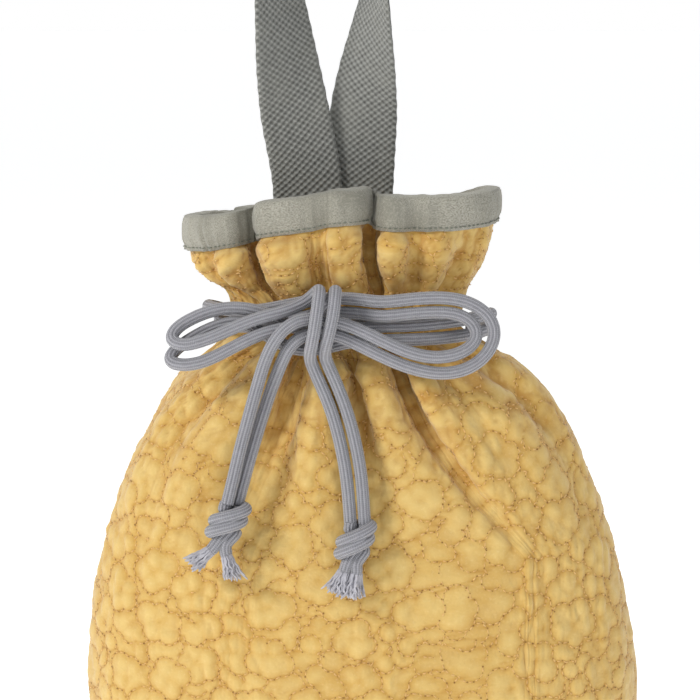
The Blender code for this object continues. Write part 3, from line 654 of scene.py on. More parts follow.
def quilted_material(weave, colours):
    """Mustard cotton, worn a little uneven: painted highlight makes it paler on the puffs, and painted shade
    makes it deeper where the thread pulls it down and in the sharp creases.
    """
    material, tree, shader = start_material("quilted_mustard_cotton", 0.86, 0.35)
    cloth = add_node(tree, "ShaderNodeGroup", node_tree=weave)
    puff = named_value(tree, "puff")
    crease_shade = named_value(tree, "crease_shade")
    tone = stretch(tree, cloth.outputs["Patches"], 0.32, 0.7)
    colour = blend_colours(tree, tone, colours.cotton_dark, colours.cotton_light)
    # Painted highlight: the tops of the puffs are lightened, standing in for the light they catch.
    colour = blend_colours(tree, stretch(tree, puff, 0.45, 1.0), colour, colours.puff)
    # Painted shade: the cloth is darkened along the quilting valleys, where the thread pulls it down.
    colour = blend_colours(tree, stretch(tree, puff, 0.38, 0.0), colour, colours.seam)
    # Painted shade in the sharp creases, by the crease mask.
    colour = blend_colours(tree, maths(tree, "MULTIPLY", crease_shade, 0.6), colour, colours.fold)
    fleck = maths(tree, "MULTIPLY", stretch(tree, cloth.outputs["Flecks"], 0.55, 0.8), 0.16)
    colour = blend_colours(tree, fleck, colour, colours.fleck)
    tree.links.new(colour, shader.inputs["Base Color"])
    solid = add_node(tree, "ShaderNodeTexCoord").outputs["Object"]
    first = bump(tree, shader, noise_of(tree, solid, 420.0, 4.0), 0.0009, 0.55)
    bump(tree, shader, cloth.outputs["Weave"], 0.00012, 0.5, first)
    return material


def plain_material(name, weave, dark, light, threads=2600.0):
    """Plain woven cotton in two close tones. Threads is the count in a metre."""
    material, tree, shader = start_material(name, 0.88, 0.25)
    cloth = add_node(tree, "ShaderNodeGroup", [("Threads", threads)], node_tree=weave)
    tone = stretch(tree, cloth.outputs["Patches"], 0.3, 0.7)
    colour = blend_colours(tree, tone, dark, light)
    place = add_node(tree, "ShaderNodeUVMap").outputs[0]
    grain = noise_of(tree, place, 1500.0, 2.0)
    colour = blend_colours(tree, stretch(tree, grain, 0.62, 0.30), colour, dark)
    fleck = maths(tree, "MULTIPLY", stretch(tree, cloth.outputs["Flecks"], 0.5, 0.8), 0.5)
    colour = blend_colours(tree, fleck, colour, light)
    tree.links.new(colour, shader.inputs["Base Color"])
    solid = add_node(tree, "ShaderNodeTexCoord").outputs["Object"]
    first = bump(tree, shader, noise_of(tree, solid, 260.0, 5.0), 0.0016, 0.6)
    bump(tree, shader, cloth.outputs["Weave"], 0.00022, 0.8, first)
    return material


def webbing_material(colours):
    """Grey cotton webbing: ribs across, each broken into slanting stitches of the weave, with painted shade
    between the ribs and painted highlight on them.
    """
    rib_width, stitch_height = 0.0017, 0.0014
    material, tree, shader = start_material("grey_woven_webbing", 0.85, 0.3)
    place = add_node(tree, "ShaderNodeUVMap").outputs[0]
    apart = add_node(tree, "ShaderNodeSeparateXYZ", [(0, place)])
    across = maths(tree, "MULTIPLY", apart.outputs[0], math.pi / rib_width)
    along = maths(tree, "MULTIPLY", apart.outputs[1], math.pi / stitch_height)
    height = maths(tree, "MULTIPLY", maths(tree, "SINE", along), maths(tree, "SINE", across))
    height = maths(tree, "MULTIPLY_ADD", noise_of(tree, place, 300.0, 4.0), 1.2, height)
    # The colour follows the relief: painted shade between the ribs and painted highlight on them, with some
    # random tone from the noise.
    tone = stretch(tree, height, -1.0, 1.9)
    colour = blend_colours(tree, tone, colours.webbing_shade, colours.webbing_highlight)
    worn = stretch(tree, noise_of(tree, place, 40.0, 3.0), 0.42, 0.75)
    colour = blend_colours(tree, maths(tree, "MULTIPLY", worn, 0.35), colour, colours.webbing_worn)
    tree.links.new(colour, shader.inputs["Base Color"])
    bump(tree, shader, height, 0.00045, 1.0)
    return material


def cord_material(name, dark, light):
    """Tubular knitted cord: chevron stitches in ribs along it, with mottled grey yarn, painted shade in the
    hollows between the ribs and painted highlight on them.
    """
    ribs_round, knit_pitch = 11.0, 0.00078
    material, tree, shader = start_material(name, 0.82, 0.4)
    place = add_node(tree, "ShaderNodeUVMap")
    apart = add_node(tree, "ShaderNodeSeparateXYZ", [(0, place.outputs[0])])
    ribs = maths(tree, "PINGPONG", maths(tree, "MULTIPLY", apart.outputs[0], ribs_round), 1.0)
    along = maths(tree, "MULTIPLY", apart.outputs[1], 2 * math.pi / knit_pitch)
    knit = maths(tree, "SINE", maths(tree, "MULTIPLY_ADD", ribs, 2.6, along))
    valley = maths(tree, "SINE", maths(tree, "MULTIPLY", apart.outputs[0], 2 * ribs_round * math.pi))
    height = maths(tree, "MULTIPLY_ADD", knit, 0.40, valley)
    solid = add_node(tree, "ShaderNodeTexCoord").outputs["Object"]
    height = maths(tree, "MULTIPLY_ADD", noise_of(tree, solid, 420.0, 3.0), 1.4, height)
    # The colour follows the relief and the noise: painted shade in the hollows between the ribs and stitches,
    # painted highlight on their tops, mottled at random.
    colour = blend_colours(tree, stretch(tree, height, -1.0, 2.0), dark, light)
    tree.links.new(colour, shader.inputs["Base Color"])
    bump(tree, shader, height, 0.00035, 0.8)
    return material


def thread_material(name, low, high):
    """Thread in two close tones, which change slowly over the pouch; the needle holes use it for their
    painted shade.
    """
    material, tree, shader = start_material(name, 0.65, 0.2)
    place = add_node(tree, "ShaderNodeTexCoord").outputs["Object"]
    colour = blend_colours(tree, noise_of(tree, place, 300.0, 2.0), low, high)
    tree.links.new(colour, shader.inputs["Base Color"])
    return material


# Mesh helpers


def place_piece(name, points, faces, material, uvs=None, values=None):
    """Mesh object with a UV map given per point and named values per point. It rides on the body."""
    mesh = bpy.data.meshes.new(name)
    mesh.from_pydata(np.asarray(points, float).tolist(), [], faces)
    mesh.shade_smooth()
    if uvs is not None:
        loops = np.zeros(len(mesh.loops), np.int32)
        mesh.loops.foreach_get("vertex_index", loops)
        layer = mesh.uv_layers.new(name="UVMap")
        layer.uv.foreach_set("vector", np.asarray(uvs, np.float32)[loops].ravel())
    for key, value in (values or {}).items():
        mesh.attributes.new(key, "FLOAT", "POINT").data.foreach_set("value", np.asarray(value, np.float32))
    mesh.materials.append(material)
    obj = bpy.data.objects.new(name, mesh)
    bpy.context.scene.collection.objects.link(obj)
    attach(obj, "root")
    return obj


def grid_quads(rows, columns, is_ring=False):
    """Quads of a grid of points given row by row, closed on itself where it is a ring."""
    across = np.arange(columns if is_ring else columns - 1)
    row, column = np.meshgrid(np.arange(rows - 1), across, indexing="ij")
    a = row * columns + column
    b = row * columns + (column + 1) % columns
    return np.stack([a, b, b + columns, a + columns], axis=-1).reshape(-1, 4).tolist()


def grid_normals(grid, is_ring=False):
    """Way out of the cloth at each point of a grid."""
    if is_ring:
        along = np.roll(grid, -1, axis=1) - np.roll(grid, 1, axis=1)
    else:
        along = np.gradient(grid, axis=1)
    normal = np.cross(along, np.gradient(grid, axis=0))
    return normal / np.maximum(np.linalg.norm(normal, axis=-1, keepdims=True), 1e-12)


def smooth_noise(x, y, cell, seed):
    """Smooth random values from -1 to 1 over a plane, one new value per cell."""
    table = np.random.default_rng(seed).uniform(-1, 1, (64, 64))
    gx, gy = x / cell, y / cell
    ix, iy = np.floor(gx).astype(int), np.floor(gy).astype(int)
    fx, fy = gx - ix, gy - iy
    fx, fy = fx * fx * (3 - 2 * fx), fy * fy * (3 - 2 * fy)
    corner = [[table[(ix + a) % 64, (iy + b) % 64] for b in (0, 1)] for a in (0, 1)]
    low = corner[0][0] * (1 - fx) + corner[1][0] * fx
    high = corner[0][1] * (1 - fx) + corner[1][1] * fx
    return low * (1 - fy) + high * fy


def layered_noise(x, t, coarse, fine, fine_share, seed):
    """Coarse noise with a share of finer noise. Each gives how far t is squeezed, and its cell."""
    first = smooth_noise(x, t * coarse[0], coarse[1], seed)
    return first + fine_share * smooth_noise(x, t * fine[0], fine[1], seed + 1)


def bell(x, middle, width):
    """Smooth hump of height 1."""
    return np.exp(-(((x - middle) / width) ** 2))


# Quilting


def clouds(width, height, seed):
    """Overlapping clouds in the cloth's own plane, the front one first. Each is a ring of circles.

    Columns: middle across, middle up, radius, number of the cloud."""
    draw = np.random.default_rng(seed)
    margin = 12
    middles = []
    y = -5.0
    while y < height + margin:
        x = -10.0 + draw.uniform(0, margin)
        while x < width + margin:
            middles.append((x + draw.uniform(-3, 3), y + draw.uniform(-3.5, 3.5)))
            x += draw.uniform(*CLOUD_SPACING)
        y += CLOUD_ROW
    draw.shuffle(middles)
    rows = []
    for index, (x, y) in enumerate(middles):
        count = draw.integers(4, 7)
        first = draw.uniform(0, 2 * math.pi)
        for step in range(count):
            turn = first + 2 * math.pi * step / count + draw.uniform(-0.25, 0.25)
            reach = draw.uniform(*CLOUD_REACH)
            across = x + 1.2 * reach * math.cos(turn)
            up = y + reach * math.sin(turn)
            rows.append((across, up, draw.uniform(*CLOUD_RADIUS), index))
    return np.array(rows)


def past_circles(points, circles):
    """How far each point is outside each circle."""
    return np.linalg.norm(points[:, None] - circles[None, :, :2], axis=-1) - circles[None, :, 2]


def past_clouds(points, circles):
    """How far each point is outside each cloud that has a circle in the list."""
    _, firsts = np.unique(circles[:, 3], return_index=True)
    return np.minimum.reduceat(past_circles(points, circles), firsts, axis=1)


def quilt_distance(s, t, circles):
    """Distance in millimetres from each point of the cloth to the nearest line of quilting."""
    result = np.empty_like(s)
    for row in range(len(s)):
        near = circles[np.abs(circles[:, 1] - t[row, 0]) < CLOUD_NEAR]
        past = past_clouds(np.column_stack([s[row], t[row]]), near)
        inside = past < 0
        owner = np.where(inside.any(axis=1), inside.argmax(axis=1), past.shape[1])
        before = np.arange(past.shape[1])[None] < owner[:, None]
        nearest = np.where(before, past, 1e3).min(axis=1)
        last = np.minimum(owner, past.shape[1] - 1)
        own = np.where(owner < past.shape[1], -past[np.arange(len(past)), last], 1e3)
        result[row] = np.minimum(nearest, own)
    return result


def quilt_stitches(circles, pitch):
    """Place and direction of every stitch that lies along a visible arc."""
    rows = []
    for index, (x, y, radius, cloud) in enumerate(circles):
        count = int(2 * math.pi * radius / pitch)
        turn = np.linspace(0, 2 * math.pi, count, endpoint=False) + index
        place = np.column_stack([x + radius * np.cos(turn), y + radius * np.sin(turn)])
        way = np.column_stack([-np.sin(turn), np.cos(turn)])
        touching = np.hypot(circles[:, 0] - x, circles[:, 1] - y) < radius + circles[:, 2]
        near = touching & (circles[:, 3] <= cloud)
        near[index] = False
        if near.any():
            seen = past_circles(place, circles[near]).min(axis=1) > 0.3
            place, way = place[seen], way[seen]
        rows.append(np.column_stack([place, way]))
    return np.vstack(rows)


def panel_rows():
    """Rows of a panel's visible cloth, from the seam under the bag to the rim.

    Each is a height and, under the bag, the share of the way out from that seam."""
    under = [(0.0, share) for share in np.linspace(0, 1, int(BASE_DEPTH / ROW_STEP))]
    return under + [(z, 1.0) for z in np.arange(ROW_STEP, PANEL_TOP, ROW_STEP)] + [(PANEL_TOP, 1.0)]


def plain_faces(rows, around):
    """Outer and inner face of one panel before it is quilted, as grids of points."""
    side = -1.0 if around[0] == 0 else 1.0
    faces = ([], [])
    for z, share in rows:
        rise = smooth_steps(z, (CASING_TOP, BINDING_ROW), (0, 1))
        up = z + rise * (rim_height(around) - RIM_NOMINAL)
        for face, points in zip(faces, section(around, z)):
            if share < 1:
                points[:, 0] *= BASE_SEAM_SHARE + (1 - BASE_SEAM_SHARE) * share
                points[:, 1] = side * (0.5 * SEAM_GAP + share * (np.abs(points[:, 1]) - 0.5 * SEAM_GAP))
            face.append(np.column_stack([points, up]))
    return np.array(faces[0]), np.array(faces[1])


def fold_relief(around, z, near_neck):
    """How much deeper the visible folds are than the solids' own, and how far the cloth beside them rises."""
    relief = np.zeros((len(z), len(around)))
    for fold in FOLDS:
        depth = smooth_steps(z, FOLD_HEIGHTS, fold["deep"]) / 10 * smooth_steps(z, (0.10, 0.15), (0.0, 1.0))
        place = ((around - fold["at"]) / fold["half"])[None]
        ridges = bell(place, 1.15, 0.5) + bell(place, -1.15, 0.5)
        relief += FOLD_RELIEF * (1 - 0.8 * near_neck) * depth * (ridges - 1.2 * bell(place, 0, 0.5))
    return relief


class QuiltedCloth:
    """One panel's visible cloth as a fine grid, and the way from cloth coordinates to the grid.

    Cloth coordinates are millimetres: s across the panel, along each row, and t up from the bottom seam."""

    def __init__(self, start, puff_height, seed):
        """Start is 0 for the front panel and 0.5 for the back one."""
        self.width = FLAT_WIDTH / MM
        rows = panel_rows()
        around = np.linspace(start, start + 0.5, VIEW_COLUMNS)
        self.travel = np.array([share * BASE_DEPTH + z for z, share in rows]) / MM
        self.plain, self.inner = plain_faces(rows, around)
        self.normals = grid_normals(self.plain)
        steps = np.linalg.norm(np.diff(self.plain, axis=1), axis=-1) / MM
        self.s = np.pad(np.cumsum(steps, axis=1), ((0, 0), (1, 0)))
        self.s += 0.5 * (self.width - self.s[:, -1:])
        self.t = np.repeat(self.travel[:, None], VIEW_COLUMNS, axis=1)
        self.circles = clouds(self.width, self.travel[-1], seed)
        distance = quilt_distance(self.s, self.t, self.circles)
        for line in STITCH_LINES:
            distance = np.minimum(distance, np.abs(self.t - (BASE_DEPTH + line) / MM))
        self.puff = 1 - np.exp(-distance / SEAM_PULL)
        z = np.array([z for z, _ in rows])[:, None]
        edge = np.minimum(self.s - self.s[:, :1], self.s[:, -1:] - self.s)
        height = self.height_at(around, z, edge, puff_height, seed)
        self.grid = self.plain + self.normals * (height - SINK)[..., None]
        self.grid[..., 2] = np.maximum(self.grid[..., 2], LOWEST_CLOTH)
        gap = np.sum((self.grid - self.inner) * self.normals, axis=-1)
        inwards = np.clip(LINING_GAP - gap, 0, 0.006) * np.clip(edge / 3, 0, 1)
        self.inner = self.inner - self.normals * inwards[..., None]

    def height_at(self, around, z, edge, puff_height, seed):
        """Height of the cloth over the plain face: puffs, crinkles, pleats, gathers and folds."""
        s, t = self.s, self.t
        cut = np.repeat(((around - around[0]) * 2 * self.width)[None], len(z), axis=0)
        near_neck = bell(z, NECK, NECK_REACH)
        above = 1 / (1 + np.exp(-(z - 0.258) / 0.004))
        crinkle = 0.5 * smooth_noise(s, t * 0.45, 2.4, seed + 3)
        crinkle = crinkle + 0.5 * smooth_noise(s, t * 0.7, 4.2, seed + 5)
        loose = layered_noise(cut, t, (0.20, 9.0), (0.5, 4.0), 0.35, seed + 7)
        tight = layered_noise(cut, t, (0.16, 5.0), (0.5, 2.6), 0.35, seed + 9)
        gather = 0.9 * np.abs(loose) ** 0.6 + 0.6 * np.abs(tight) ** 0.6 - 0.75
        wave = smooth_noise(s, t * 0.5, 21.0, seed + 11)
        lines = layered_noise(s, t, (0.26, 5.4), (0.8, 2.9), 0.3, seed + 12)
        pleats = np.abs(lines) ** 0.6 - 0.5
        gathered = bell(z, GATHERED_ABOVE, GATHERED_REACH) * (z < GATHERED_ABOVE) + (z >= GATHERED_ABOVE)
        # Mask of the painted shade in the sharp creases, stronger where the cloth is gathered.
        crease_shade_mask = bell(loose, 0, 0.10) + 0.7 * bell(tight, 0, 0.10) + 0.9 * bell(lines, 0, 0.09)
        self.crease_shade = np.clip(crease_shade_mask * (0.25 + 0.75 * gathered), 0, 1)
        height = puff_height * self.puff * (1 - 0.4 * near_neck)
        height = height + (CRINKLES * crinkle + PLEATS * pleats) * (0.35 + 0.65 * self.puff)
        height = height + gather * (GATHERS + NECK_GATHERS * gathered * (1 - 0.25 * above)) + WAVES * wave
        height = height + fold_relief(around, z, near_neck)
        height = height * smooth_steps(z, (BINDING_ROW - 0.0045, BINDING_ROW), (1, 0.1))
        return height * np.clip(edge / 4.0, 0, 1) ** 0.5

    def at(self, s, t):
        """Surface point and normal at cloth coordinates."""
        row = np.clip(np.interp(t, self.travel, np.arange(len(self.travel))), 0, len(self.travel) - 1.001)
        i = row.astype(int)
        column = np.empty_like(s)
        for line in np.unique(i):
            here = i == line
            column[here] = np.interp(s[here], self.s[line], np.arange(VIEW_COLUMNS))
        column = np.clip(column, 0, VIEW_COLUMNS - 1.001)
        j = column.astype(int)
        a, b = (row - i)[:, None], (column - j)[:, None]
        g = self.grid
        low = g[i, j] * (1 - b) + g[i, j + 1] * b
        high = g[i + 1, j] * (1 - b) + g[i + 1, j + 1] * b
        return low * (1 - a) + high * a, self.normals[i, j]

    def seams(self, pitch):
        """Every stitch's place on the surface, its direction and the way out of the cloth."""
        marks = quilt_stitches(self.circles, pitch)
        for line in STITCH_LINES:
            run = np.arange(0.0, self.width, pitch)
            level = np.full_like(run, (BASE_DEPTH + line) / MM)
            marks = np.vstack([marks, np.column_stack([run, level, np.ones_like(run), np.zeros_like(run)])])
        top = self.travel[-1] - BINDING_HEIGHT / MM
        marks = marks[(marks[:, 1] > 2.0) & (marks[:, 1] < top)]
        row = np.clip(np.searchsorted(self.travel, marks[:, 1]), 0, len(self.travel) - 1)
        marks = marks[(marks[:, 0] > self.s[row, 0] + 1.5) & (marks[:, 0] < self.s[row, -1] - 1.5)]
        place, way = marks[:, :2].T, 0.4 * marks[:, 2:].T
        point, out = self.at(*place)
        ahead, _ = self.at(*(place + way))
        behind, _ = self.at(*(place - way))
        return point, ahead - behind, out


# Stitches


def stitch_shape(name, length, thickness, material):
    """One stitch: a short bead of thread along X, four-sided, pointed where it goes into the cloth."""
    r = 0.5 * thickness
    points = [(-0.5 * length, 0, -r)]
    for x in (-0.28, 0.28):
        points += [(x * length, y, z) for y, z in ((r, 0), (0, r), (-r, 0), (0, -0.6 * r))]
    points.append((0.5 * length, 0, -r))
    faces = []
    for i in range(4):
        j = (i + 1) % 4
        faces += [(0, 1 + i, 1 + j), (1 + i, 5 + i, 5 + j, 1 + j), (5 + i, 9, 5 + j)]
    return shape_of(name, points, faces, material)


def hole_shape(name, radius, material):
    """One needle hole: a small six-sided dimple that shows as a dot of painted shade."""
    turns = np.arange(6) * math.pi / 3
    points = [(radius * math.cos(turn), radius * math.sin(turn), 0) for turn in turns]
    points.append((0, 0, 0.35 * radius))
    return shape_of(name, points, [(i, (i + 1) % 6, 6) for i in range(6)], material)


def shape_of(name, points, faces, material):
    """Object that is copied along the seams. It stays out of the scene."""
    mesh = bpy.data.meshes.new(name)
    mesh.from_pydata(points, [], faces)
    mesh.shade_smooth()
    mesh.materials.append(material)
    return bpy.data.objects.new(name, mesh)


def stitch_nodes():
    """Geometry nodes: a stitch on every point, laid along the seam and facing out of the cloth."""
    group = bpy.data.node_groups.new("sew_stitches", "GeometryNodeTree")
    face = group.interface
    face.new_socket("Places", in_out="INPUT", socket_type="NodeSocketGeometry")
    face.new_socket("Stitch", in_out="INPUT", socket_type="NodeSocketObject")
    face.new_socket("Unevenness", in_out="INPUT", socket_type="NodeSocketFloat").default_value = 0.12
    face.new_socket("Seed", in_out="INPUT", socket_type="NodeSocketInt").default_value = 4
    face.new_socket("Thread", in_out="INPUT", socket_type="NodeSocketMaterial")
    face.new_socket("Stitches", in_out="OUTPUT", socket_type="NodeSocketGeometry")
    entry = group.nodes.new("NodeGroupInput")
    leave = group.nodes.new("NodeGroupOutput")
    along = add_node(group, "GeometryNodeInputNamedAttribute", [("Name", "along")], data_type="FLOAT_VECTOR")
    out = add_node(group, "GeometryNodeInputNamedAttribute", [("Name", "out")], data_type="FLOAT_VECTOR")
    turn = add_node(group, "FunctionNodeAlignRotationToVector", [("Vector", along.outputs[0])], axis="X")
    values = [("Rotation", turn.outputs[0]), ("Vector", out.outputs[0])]
    faced = add_node(group, "FunctionNodeAlignRotationToVector", values, axis="Z", pivot_axis="X")
    low = maths(group, "SUBTRACT", 1.0, entry.outputs["Unevenness"])
    high = maths(group, "ADD", 1.0, entry.outputs["Unevenness"])
    values = [(2, low), (3, high), (8, entry.outputs["Seed"])]
    size = add_node(group, "FunctionNodeRandomValue", values, data_type="FLOAT")
    source = add_node(group, "GeometryNodeObjectInfo", [("Object", entry.outputs["Stitch"])])
    values = [("Points", entry.outputs["Places"]), ("Instance", source.outputs["Geometry"])]
    values += [("Rotation", faced.outputs[0]), ("Scale", size.outputs[1])]
    copies = add_node(group, "GeometryNodeInstanceOnPoints", values)
    real = add_node(group, "GeometryNodeRealizeInstances", [("Geometry", copies.outputs[0])])
    values = [("Geometry", real.outputs[0]), ("Material", entry.outputs["Thread"])]
    painted = add_node(group, "GeometryNodeSetMaterial", values)
    group.links.new(painted.outputs[0], leave.inputs[0])
    return group


def sew(name, places, along, out, stitch, seed, uneven=STITCH_UNEVENNESS):
    """One piece holding every stitch of a group, in the stitch's own material."""
    mesh = bpy.data.meshes.new(name + "_places")
    mesh.from_pydata(np.asarray(places).tolist(), [], [])
    for key, value in (("along", along), ("out", out)):
        data = mesh.attributes.new(key, "FLOAT_VECTOR", "POINT").data
        data.foreach_set("vector", np.asarray(value, np.float32).ravel())
    holder = bpy.data.objects.new(name + "_places", mesh)
    bpy.context.scene.collection.objects.link(holder)
    group = bpy.data.node_groups.get("sew_stitches") or stitch_nodes()
    modifier = holder.modifiers.new("stitches", "NODES")
    modifier.node_group = group
    thread = stitch.data.materials[0]
    wanted = {"Stitch": stitch, "Unevenness": uneven, "Seed": seed, "Thread": thread}
    for item in group.interface.items_tree:
        if item.in_out == "INPUT" and item.name in wanted:
            modifier[item.identifier] = wanted[item.name]
    bpy.context.view_layer.update()
    graph = bpy.context.evaluated_depsgraph_get()
    made = bpy.data.meshes.new_from_object(holder.evaluated_get(graph))
    bpy.data.objects.remove(holder)
    obj = bpy.data.objects.new(name, made)
    bpy.context.scene.collection.objects.link(obj)
    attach(obj, "root")
    return obj


# Cords and knots


def tube(points, radius, sides, ends=(1.0, 1.0)):
    """Rings of points round a route, with UVs in turns and metres. Returns points, faces and UVs."""
    route = np.asarray(points, float)
    ahead = np.gradient(route, axis=0)
    ahead /= np.linalg.norm(ahead, axis=1, keepdims=True)
    side = np.cross(ahead[0], (0.3, 0.2, 1.0))
    side /= np.linalg.norm(side)
    travel = length_along(route)
    radii = np.broadcast_to(radius, len(route)).astype(float).copy()
    radii[0] *= ends[0]
    radii[-1] *= ends[1]
    turn = np.linspace(0, 2 * math.pi, sides + 1)
    rings, uvs = [], []
    for point, way, width, far in zip(route, ahead, radii, travel):
        side = side - way * np.dot(side, way)
        side /= np.linalg.norm(side)
        other = np.cross(way, side)
        rings.append(point + width * (np.cos(turn)[:, None] * side + np.sin(turn)[:, None] * other))
        uvs.append(np.column_stack([turn / (2 * math.pi), np.full(sides + 1, far)]))
    count = len(route)
    faces = grid_quads(count, sides + 1)
    faces = [face[::-1] for face in faces]
    points = np.vstack(rings)
    uvs = np.vstack(uvs)
    for ring, is_start in ((0, True), (count - 1, False)):
        first = ring * (sides + 1)
        loop = list(range(first, first + sides))
        faces.append(loop if is_start else loop[::-1])
    return points, faces, uvs


def length_along(route):
    """How far along the route each of its points is."""
    return np.concatenate([[0], np.cumsum(np.linalg.norm(np.diff(route, axis=0), axis=1))])


def joined(parts):
    """Points, faces and UVs of several parts as those of one piece."""
    points, faces, uvs = [], [], []
    first = 0
    for some, quads, places in parts:
        points.append(some)
        uvs.append(places)
        faces += [[first + index for index in face] for face in quads]
        first += len(some)
    return np.vstack(points), faces, np.vstack(uvs)


def eased(route):
    """The same route with its sharp turns rounded and its ends kept."""
    line = route.copy()
    for _ in range(EASING_ROUNDS):
        line[1:-1] = 0.5 * line[1:-1] + 0.25 * (line[:-2] + line[2:])
    return line


def rounded_end(route, radius):
    """Radius along a route that closes it with a soft round end at its far end."""
    travel = length_along(route)
    left = np.clip((travel[-1] - travel) / radius, 0, 1)
    return radius * np.sqrt(1 - (1 - left) ** 2).clip(0.15, 1)


def knot_parts(corners, spread, seed):
    """Tail knot: each of the two strands wraps round slanting, tucks in and ends in a frayed bunch.

    Returns the wraps and the frayed threads, each as points, faces and UVs."""
    top, low, end = (np.array(corner) * MM for corner in corners)
    draw = np.random.default_rng(seed)
    down = low - top
    down /= np.linalg.norm(down)
    across = np.cross((0, -1, 0), down)
    across /= np.linalg.norm(across)
    out = np.cross(down, across)
    radius = 0.5 * CORD_DIAMETER
    wraps, threads = [], []
    for side in (-1, 1):
        begin = top + across * side * KNOT_APART
        route = [begin - down * 0.001, begin + down * 0.002]
        for share in np.linspace(0, 1, 17):
            turn = math.radians(KNOT_START + side * 8 + KNOT_TURN * share)
            fall = KNOT_FALL[0] + KNOT_FALL[1] * share + side * 0.0025 - 0.0026 * math.cos(turn)
            wide = KNOT_WIDTH[0] + KNOT_WIDTH[1] * math.sin(math.pi * share)
            place = wide * (math.cos(turn) * across * 1.15 + math.sin(turn) * out * 0.9)
            route.append(top + down * fall + place)
        aim = end - low + across * side * spread
        aim /= np.linalg.norm(aim)
        route.append(low + across * side * 0.0018 - down * 0.002)
        route += [low + across * side * 0.0022 + aim * far for far in (0.0015, 0.0040)]
        line = smooth_route(route, 0.0009)
        wraps.append(tube(line, rounded_end(line, radius), 16))
        threads += frayed_end(line[-1] - aim * 0.002, aim, across, out, draw)
    return joined(wraps), joined(threads)


def frayed_end(root, aim, across, out, draw):
    """The loose threads at the end of one strand, as a list of thin tubes."""
    threads = []
    for _ in range(FRAY_THREADS):
        turn = draw.uniform(0, 2 * math.pi)
        ring = math.cos(turn) * across + math.sin(turn) * out
        ring -= aim * np.dot(ring, aim)
        begin = root + ring * 0.5 * CORD_DIAMETER * math.sqrt(draw.uniform(0.1, 0.95))
        splay = ring * draw.uniform(0.02, 0.22) + aim
        curl = 0.25 * (across * draw.uniform(-1, 1) + out * draw.uniform(-1, 1))
        shares = np.linspace(0, 1, 14)[:, None]
        waves = np.sin(shares * draw.uniform(14, 22) + draw.uniform(0, 6.28))
        crimp = FRAY_CRIMP * waves * np.cross(aim, ring)
        length = draw.uniform(*FRAY_LENGTH)
        thread = begin + length * (shares * splay + shares**2 * curl) + crimp * shares**0.5
        threads.append(tube(thread, FRAY_THREAD, 5, (1, 0.6)))
    return threads


# Folded and woven pieces


def rim_faces(height):
    """Outer and inner face of both panels together, all round the pouch, at a height near the rim."""
    faces = ([], [])
    for start in (0.0, 0.5):
        around = np.linspace(start, start + 0.5, BINDING_COLUMNS + 1)[:-1]
        up = height + rim_height(around) - RIM_NOMINAL
        for face, points in zip(faces, section(around, height)):
            face.append(np.column_stack([points, up]))
    return np.vstack(faces[0]), np.vstack(faces[1])


def evened_normals(grid):
    """Way out of a ring of cloth, averaged along it so that a thick strip can turn the folds."""
    normals = grid_normals(grid, True)
    for _ in range(6):
        normals = 0.5 * normals + 0.25 * (np.roll(normals, 1, axis=1) + np.roll(normals, -1, axis=1))
    return normals


def binding_grid():
    """The strip: up the outside, over the rim and down the inside, on rings round the mouth.

    Returns the rings of points, each point's way along the strip, and the ways out of the outer face."""
    levels = BINDING_ROW - BINDING_TUCK + (PANEL_TOP - BINDING_ROW + BINDING_TUCK) * np.arange(
        BINDING_STEPS) / (BINDING_STEPS - 1)
    outer, inner = (np.array(face) for face in zip(*(rim_faces(level) for level in levels)))
    count = outer.shape[1]
    place = np.arange(count) * (2 * FLAT_WIDTH / count) / MM
    out, into = evened_normals(outer), evened_normals(inner)
    pucker = smooth_noise(place, place * 0, 3.3, 41)
    small = smooth_noise(place, place * 0 + 9, 1.4, 43)
    join = np.argmin(np.abs(outer[0][: count // 2, 0] - BINDING_JOIN))
    joined_at = bell(place, place[join], 0.55)
    rows = [outer[0] + out[0] * 0.0001]
    for index, share in enumerate(np.linspace(0, 1, BINDING_STEPS)):
        past_seam = min(1.0, BINDING_SEAM + (1 - BINDING_SEAM) * share)
        lift = BINDING_LIFT + BINDING_SWELL * math.sin(math.pi * past_seam) ** 0.6
        lift = lift - BINDING_DRAWN * bell(share, BINDING_SEAM, 0.10)
        lift = lift + BINDING_PUCKER * (1 - 0.4 * share) * pucker + BINDING_CRINKLE * small
        rows.append(outer[index] + out[index] * (lift - BINDING_DRAWN * joined_at)[:, None])
    for turn in np.linspace(0.12, 0.88, 9):
        rise = BINDING_RISE * math.sin(math.pi * turn) ** 0.7 + 0.5 * BINDING_RISE
        over = outer[-1] * (1 - turn) + inner[-1] * turn
        sideways = (out[-1] if turn < 0.5 else into[-1]) * (BINDING_TURN * math.cos(math.pi * turn))
        rows.append(over + sideways + np.array([0, 0, rise]) + np.outer(0.0002 * pucker, (0, 0, 1)))
    for index in range(BINDING_STEPS - 1, -1, -1):
        rows.append(inner[index] - into[index] * (BINDING_INSIDE - 0.0003 * pucker[:, None]))
    return np.array(rows), place, out


def places_on_ring(line, pitch):
    """Even places on a closed line: the point, the way along, and the index of the point before."""
    after = np.roll(line, -1, axis=0)
    far = np.concatenate([[0], np.cumsum(np.linalg.norm(after - line, axis=1))])
    index = np.interp(np.arange(0, far[-1], pitch), far, np.arange(len(line) + 1))
    low = index.astype(int) % len(line)
    part = (index - np.floor(index))[:, None]
    return line[low] * (1 - part) + after[low] * part, (after - line)[low], low


def tape_ring(row, start):
    """Middle line of a casing tape at one of its rows."""
    level, followed, inset = TAPE_ROWS[row]
    _, _, front, back = outline_at(followed)
    open_half = exit_edge(level) + CLEARANCE
    edge = math.asin((open_half / (min(-front, back) - inset)) ** (ROUNDNESS / 2))
    angle = np.linspace(start + edge, start + math.pi - edge, TAPE_COLUMNS)
    return curve_point(angle, followed, inset + 0.5 * CASING_TAPE)


